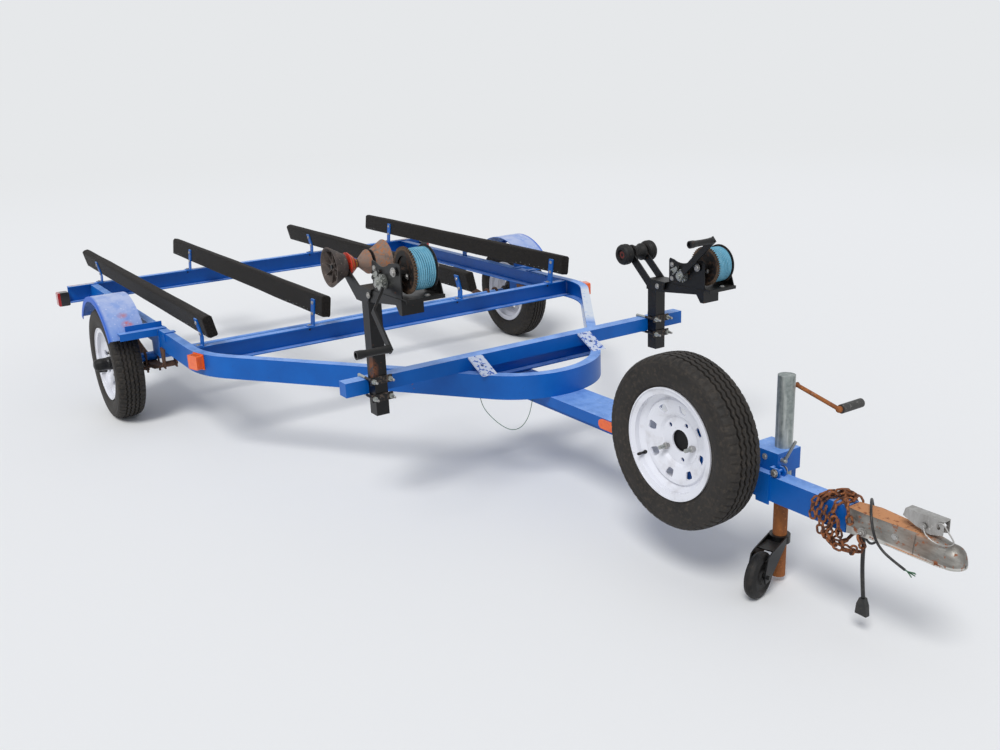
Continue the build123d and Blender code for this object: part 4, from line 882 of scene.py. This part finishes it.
def couplerNeck():
    # Along the coupler by over its top. Each section goes from the trough's four-sided one to half an ellipse; past
    # the ball's centre its width falls with sqrt(1 - ((x - 3527) / 34.4) ^ 2) and its height with that to the 0.8
    n = neckShape
    x = n["from"] + (n["to"] - n["from"]) * np.sin(np.linspace(0, math.pi / 2, n["steps"]))
    past = np.clip((x - n["dome"]) / n["radius"], 0, 1)
    ball = np.clip(1 - past ** 2, 0, 1)[:, None] ** 0.5
    along = np.clip((x - n["from"]) / (n["dome"] - n["from"]), 0, 1)[:, None]
    blend = along ** 2 * (3 - 2 * along)
    over = np.linspace(0, 1, n["round"])[None]
    share, sectionY, sectionZ = np.array(n["section"]).T
    flatY, flatZ = np.interp(over, share, sectionY), np.interp(over, share, sectionZ)
    half, low, high = sectionY[0], sectionZ[0], sectionZ.max()
    top = (high - n["drop"] * along - low) * ball ** 0.8
    roundY = half * ball * np.cos(math.pi * over)
    roundZ = low + top * np.sin(math.pi * over)
    y = flatY * (1 - blend) + roundY * blend
    z = np.minimum(flatZ, low + top) * (1 - blend) + roundZ * blend
    points = np.stack([np.broadcast_to(x[:, None], y.shape), y, z], -1)
    return points.reshape(-1, 3), gridFaces(n["steps"], n["round"])


neck = addPiece("couplerNeck", [couplerNeck()], "pressedCouplerSteel", "trailer", 60)
neck.modifiers.new("wallThickness", "SOLIDIFY").thickness = neckShape["wall"]

# Bared green strands at the end of the earth lead

strandTips = [(3452, -47, 258), (3458, -41, 262), (3455, -38, 268), (3461, -44, 270), (3450, -52, 266)]
strands = [tube(smoothLine([(3427, -43, 269), (3436, -43, 267), tip], 10), 1.5, 6, False, (0, 0.2, 1))
           for tip in strandTips]
addPiece("bareStrands", strands, "greenFlexiblePvc", "trailer")

# Reflective tape on the ends of the rear crossmember

tapes = [slab(rectangle(-1050, side * 1030, 17, 66), 2, 454.6, 455.5, 0.3) for side in (-1, 1)]
addPiece("reflectiveTape", tapes, "wornReflectiveTape", "trailer")

# Tyre valves

valveShape = {"circle": 143, "at": -152, "seat": 30, "lean": 0.25,
              "profile": [(0, -6), (7, -6), (6, 0), (4, 4), (3.6, 22), (4.4, 22), (4.4, 33), (3.4, 35), (0, 35)]}
v = valveShape
turn = math.radians(v["at"])
for side, centre, outward, body in wheels:
    place = onWheel(centre, outward, v["circle"], v["at"], v["seat"])
    stem = turned(place, (-v["lean"] * math.cos(turn), outward, -v["lean"] * math.sin(turn)), v["profile"], 12)
    addPiece(side + "Valve", [stem], "scuffedHardRubber", body)


# Studio

studio = {"floorHalf": 60.0, "floor": "#EFEFED", "distance": "#E6E8EA", "fadeFrom": 5.5, "fadeTo": 16.0,
          "skyStrength": 0.56, "sky": "#F1F5FF", "sunStrength": 1.8, "sunAngle": 22.0, "sunFrom": (1.2, -1.6, 2.6)}


def makeStudio():
    # a wide floor that fades into the sky's colour with distance, a pale sky and one large soft sun
    s = studio
    mesh = bpy.data.meshes.new("studioFloor")
    h = s["floorHalf"]
    mesh.from_pydata([(-h, -h, 0), (h, -h, 0), (h, h, 0), (-h, h, 0)], [], [(0, 1, 2, 3)])
    floor = addObject("studioFloor", mesh)
    material = bpy.data.materials.new("paleStudioPaint")
    material.use_nodes = True
    world = bpy.data.worlds.new("studioSky")
    bpy.context.scene.world = world
    world.use_nodes = True
    # seen is 1 for rays from the camera, straight or by way of gloss or glass, and 0 for those that light the object
    seen = []
    for tree in (material.node_tree, world.node_tree):
        tree.nodes.clear()
        path = addNode(tree, "ShaderNodeLightPath").outputs
        direct = addNode(tree, "ShaderNodeMath", {"operation": "MAXIMUM"},
                         {0: path["Is Camera Ray"], 1: path["Is Glossy Ray"]}).outputs[0]
        seen.append(addNode(tree, "ShaderNodeMath", {"operation": "MAXIMUM"},
                            {0: direct, 1: path["Is Transmission Ray"]}).outputs[0])
    tree = material.node_tree
    coords = addNode(tree, "ShaderNodeTexCoord").outputs["Object"]
    away = addNode(tree, "ShaderNodeVectorMath", {"operation": "LENGTH"}, {0: coords}).outputs["Value"]
    fade = addNode(tree, "ShaderNodeMapRange", {"From Min": s["fadeFrom"], "From Max": s["fadeTo"],
                                                "interpolation_type": "SMOOTHSTEP"}, {"Value": away}).outputs[0]
    fade = addNode(tree, "ShaderNodeMath", {"operation": "MULTIPLY"}, {0: fade, 1: seen[0]}).outputs[0]
    paint = addNode(tree, "ShaderNodeBsdfDiffuse", {"Color": linear(s["floor"])}).outputs[0]
    glow = addNode(tree, "ShaderNodeEmission", {"Color": linear(s["distance"]), "Strength": 1.0}).outputs[0]
    mixed = addNode(tree, "ShaderNodeMixShader", links={0: fade, 1: paint, 2: glow}).outputs[0]
    addNode(tree, "ShaderNodeOutputMaterial", links={"Surface": mixed})
    mesh.materials.append(material)
    tree = world.node_tree
    lit = addNode(tree, "ShaderNodeBackground", {"Color": linear(s["sky"]), "Strength": s["skyStrength"]}).outputs[0]
    plain = addNode(tree, "ShaderNodeBackground", {"Color": linear(s["distance"]), "Strength": 1.0}).outputs[0]
    mixed = addNode(tree, "ShaderNodeMixShader", links={0: seen[1], 1: lit, 2: plain}).outputs[0]
    addNode(tree, "ShaderNodeOutputWorld", links={"Surface": mixed})
    data = bpy.data.lights.new("softSun", "SUN")
    data.energy = s["sunStrength"]
    data.angle = math.radians(s["sunAngle"])
    lamp = addObject("softSun", data)
    lamp.rotation_mode = "QUATERNION"
    lamp.rotation_quaternion = Vector(s["sunFrom"]).to_track_quat("Z", "Y")


makeStudio()
bpy.context.scene.view_settings.view_transform = "Standard"
print("floor and light made")
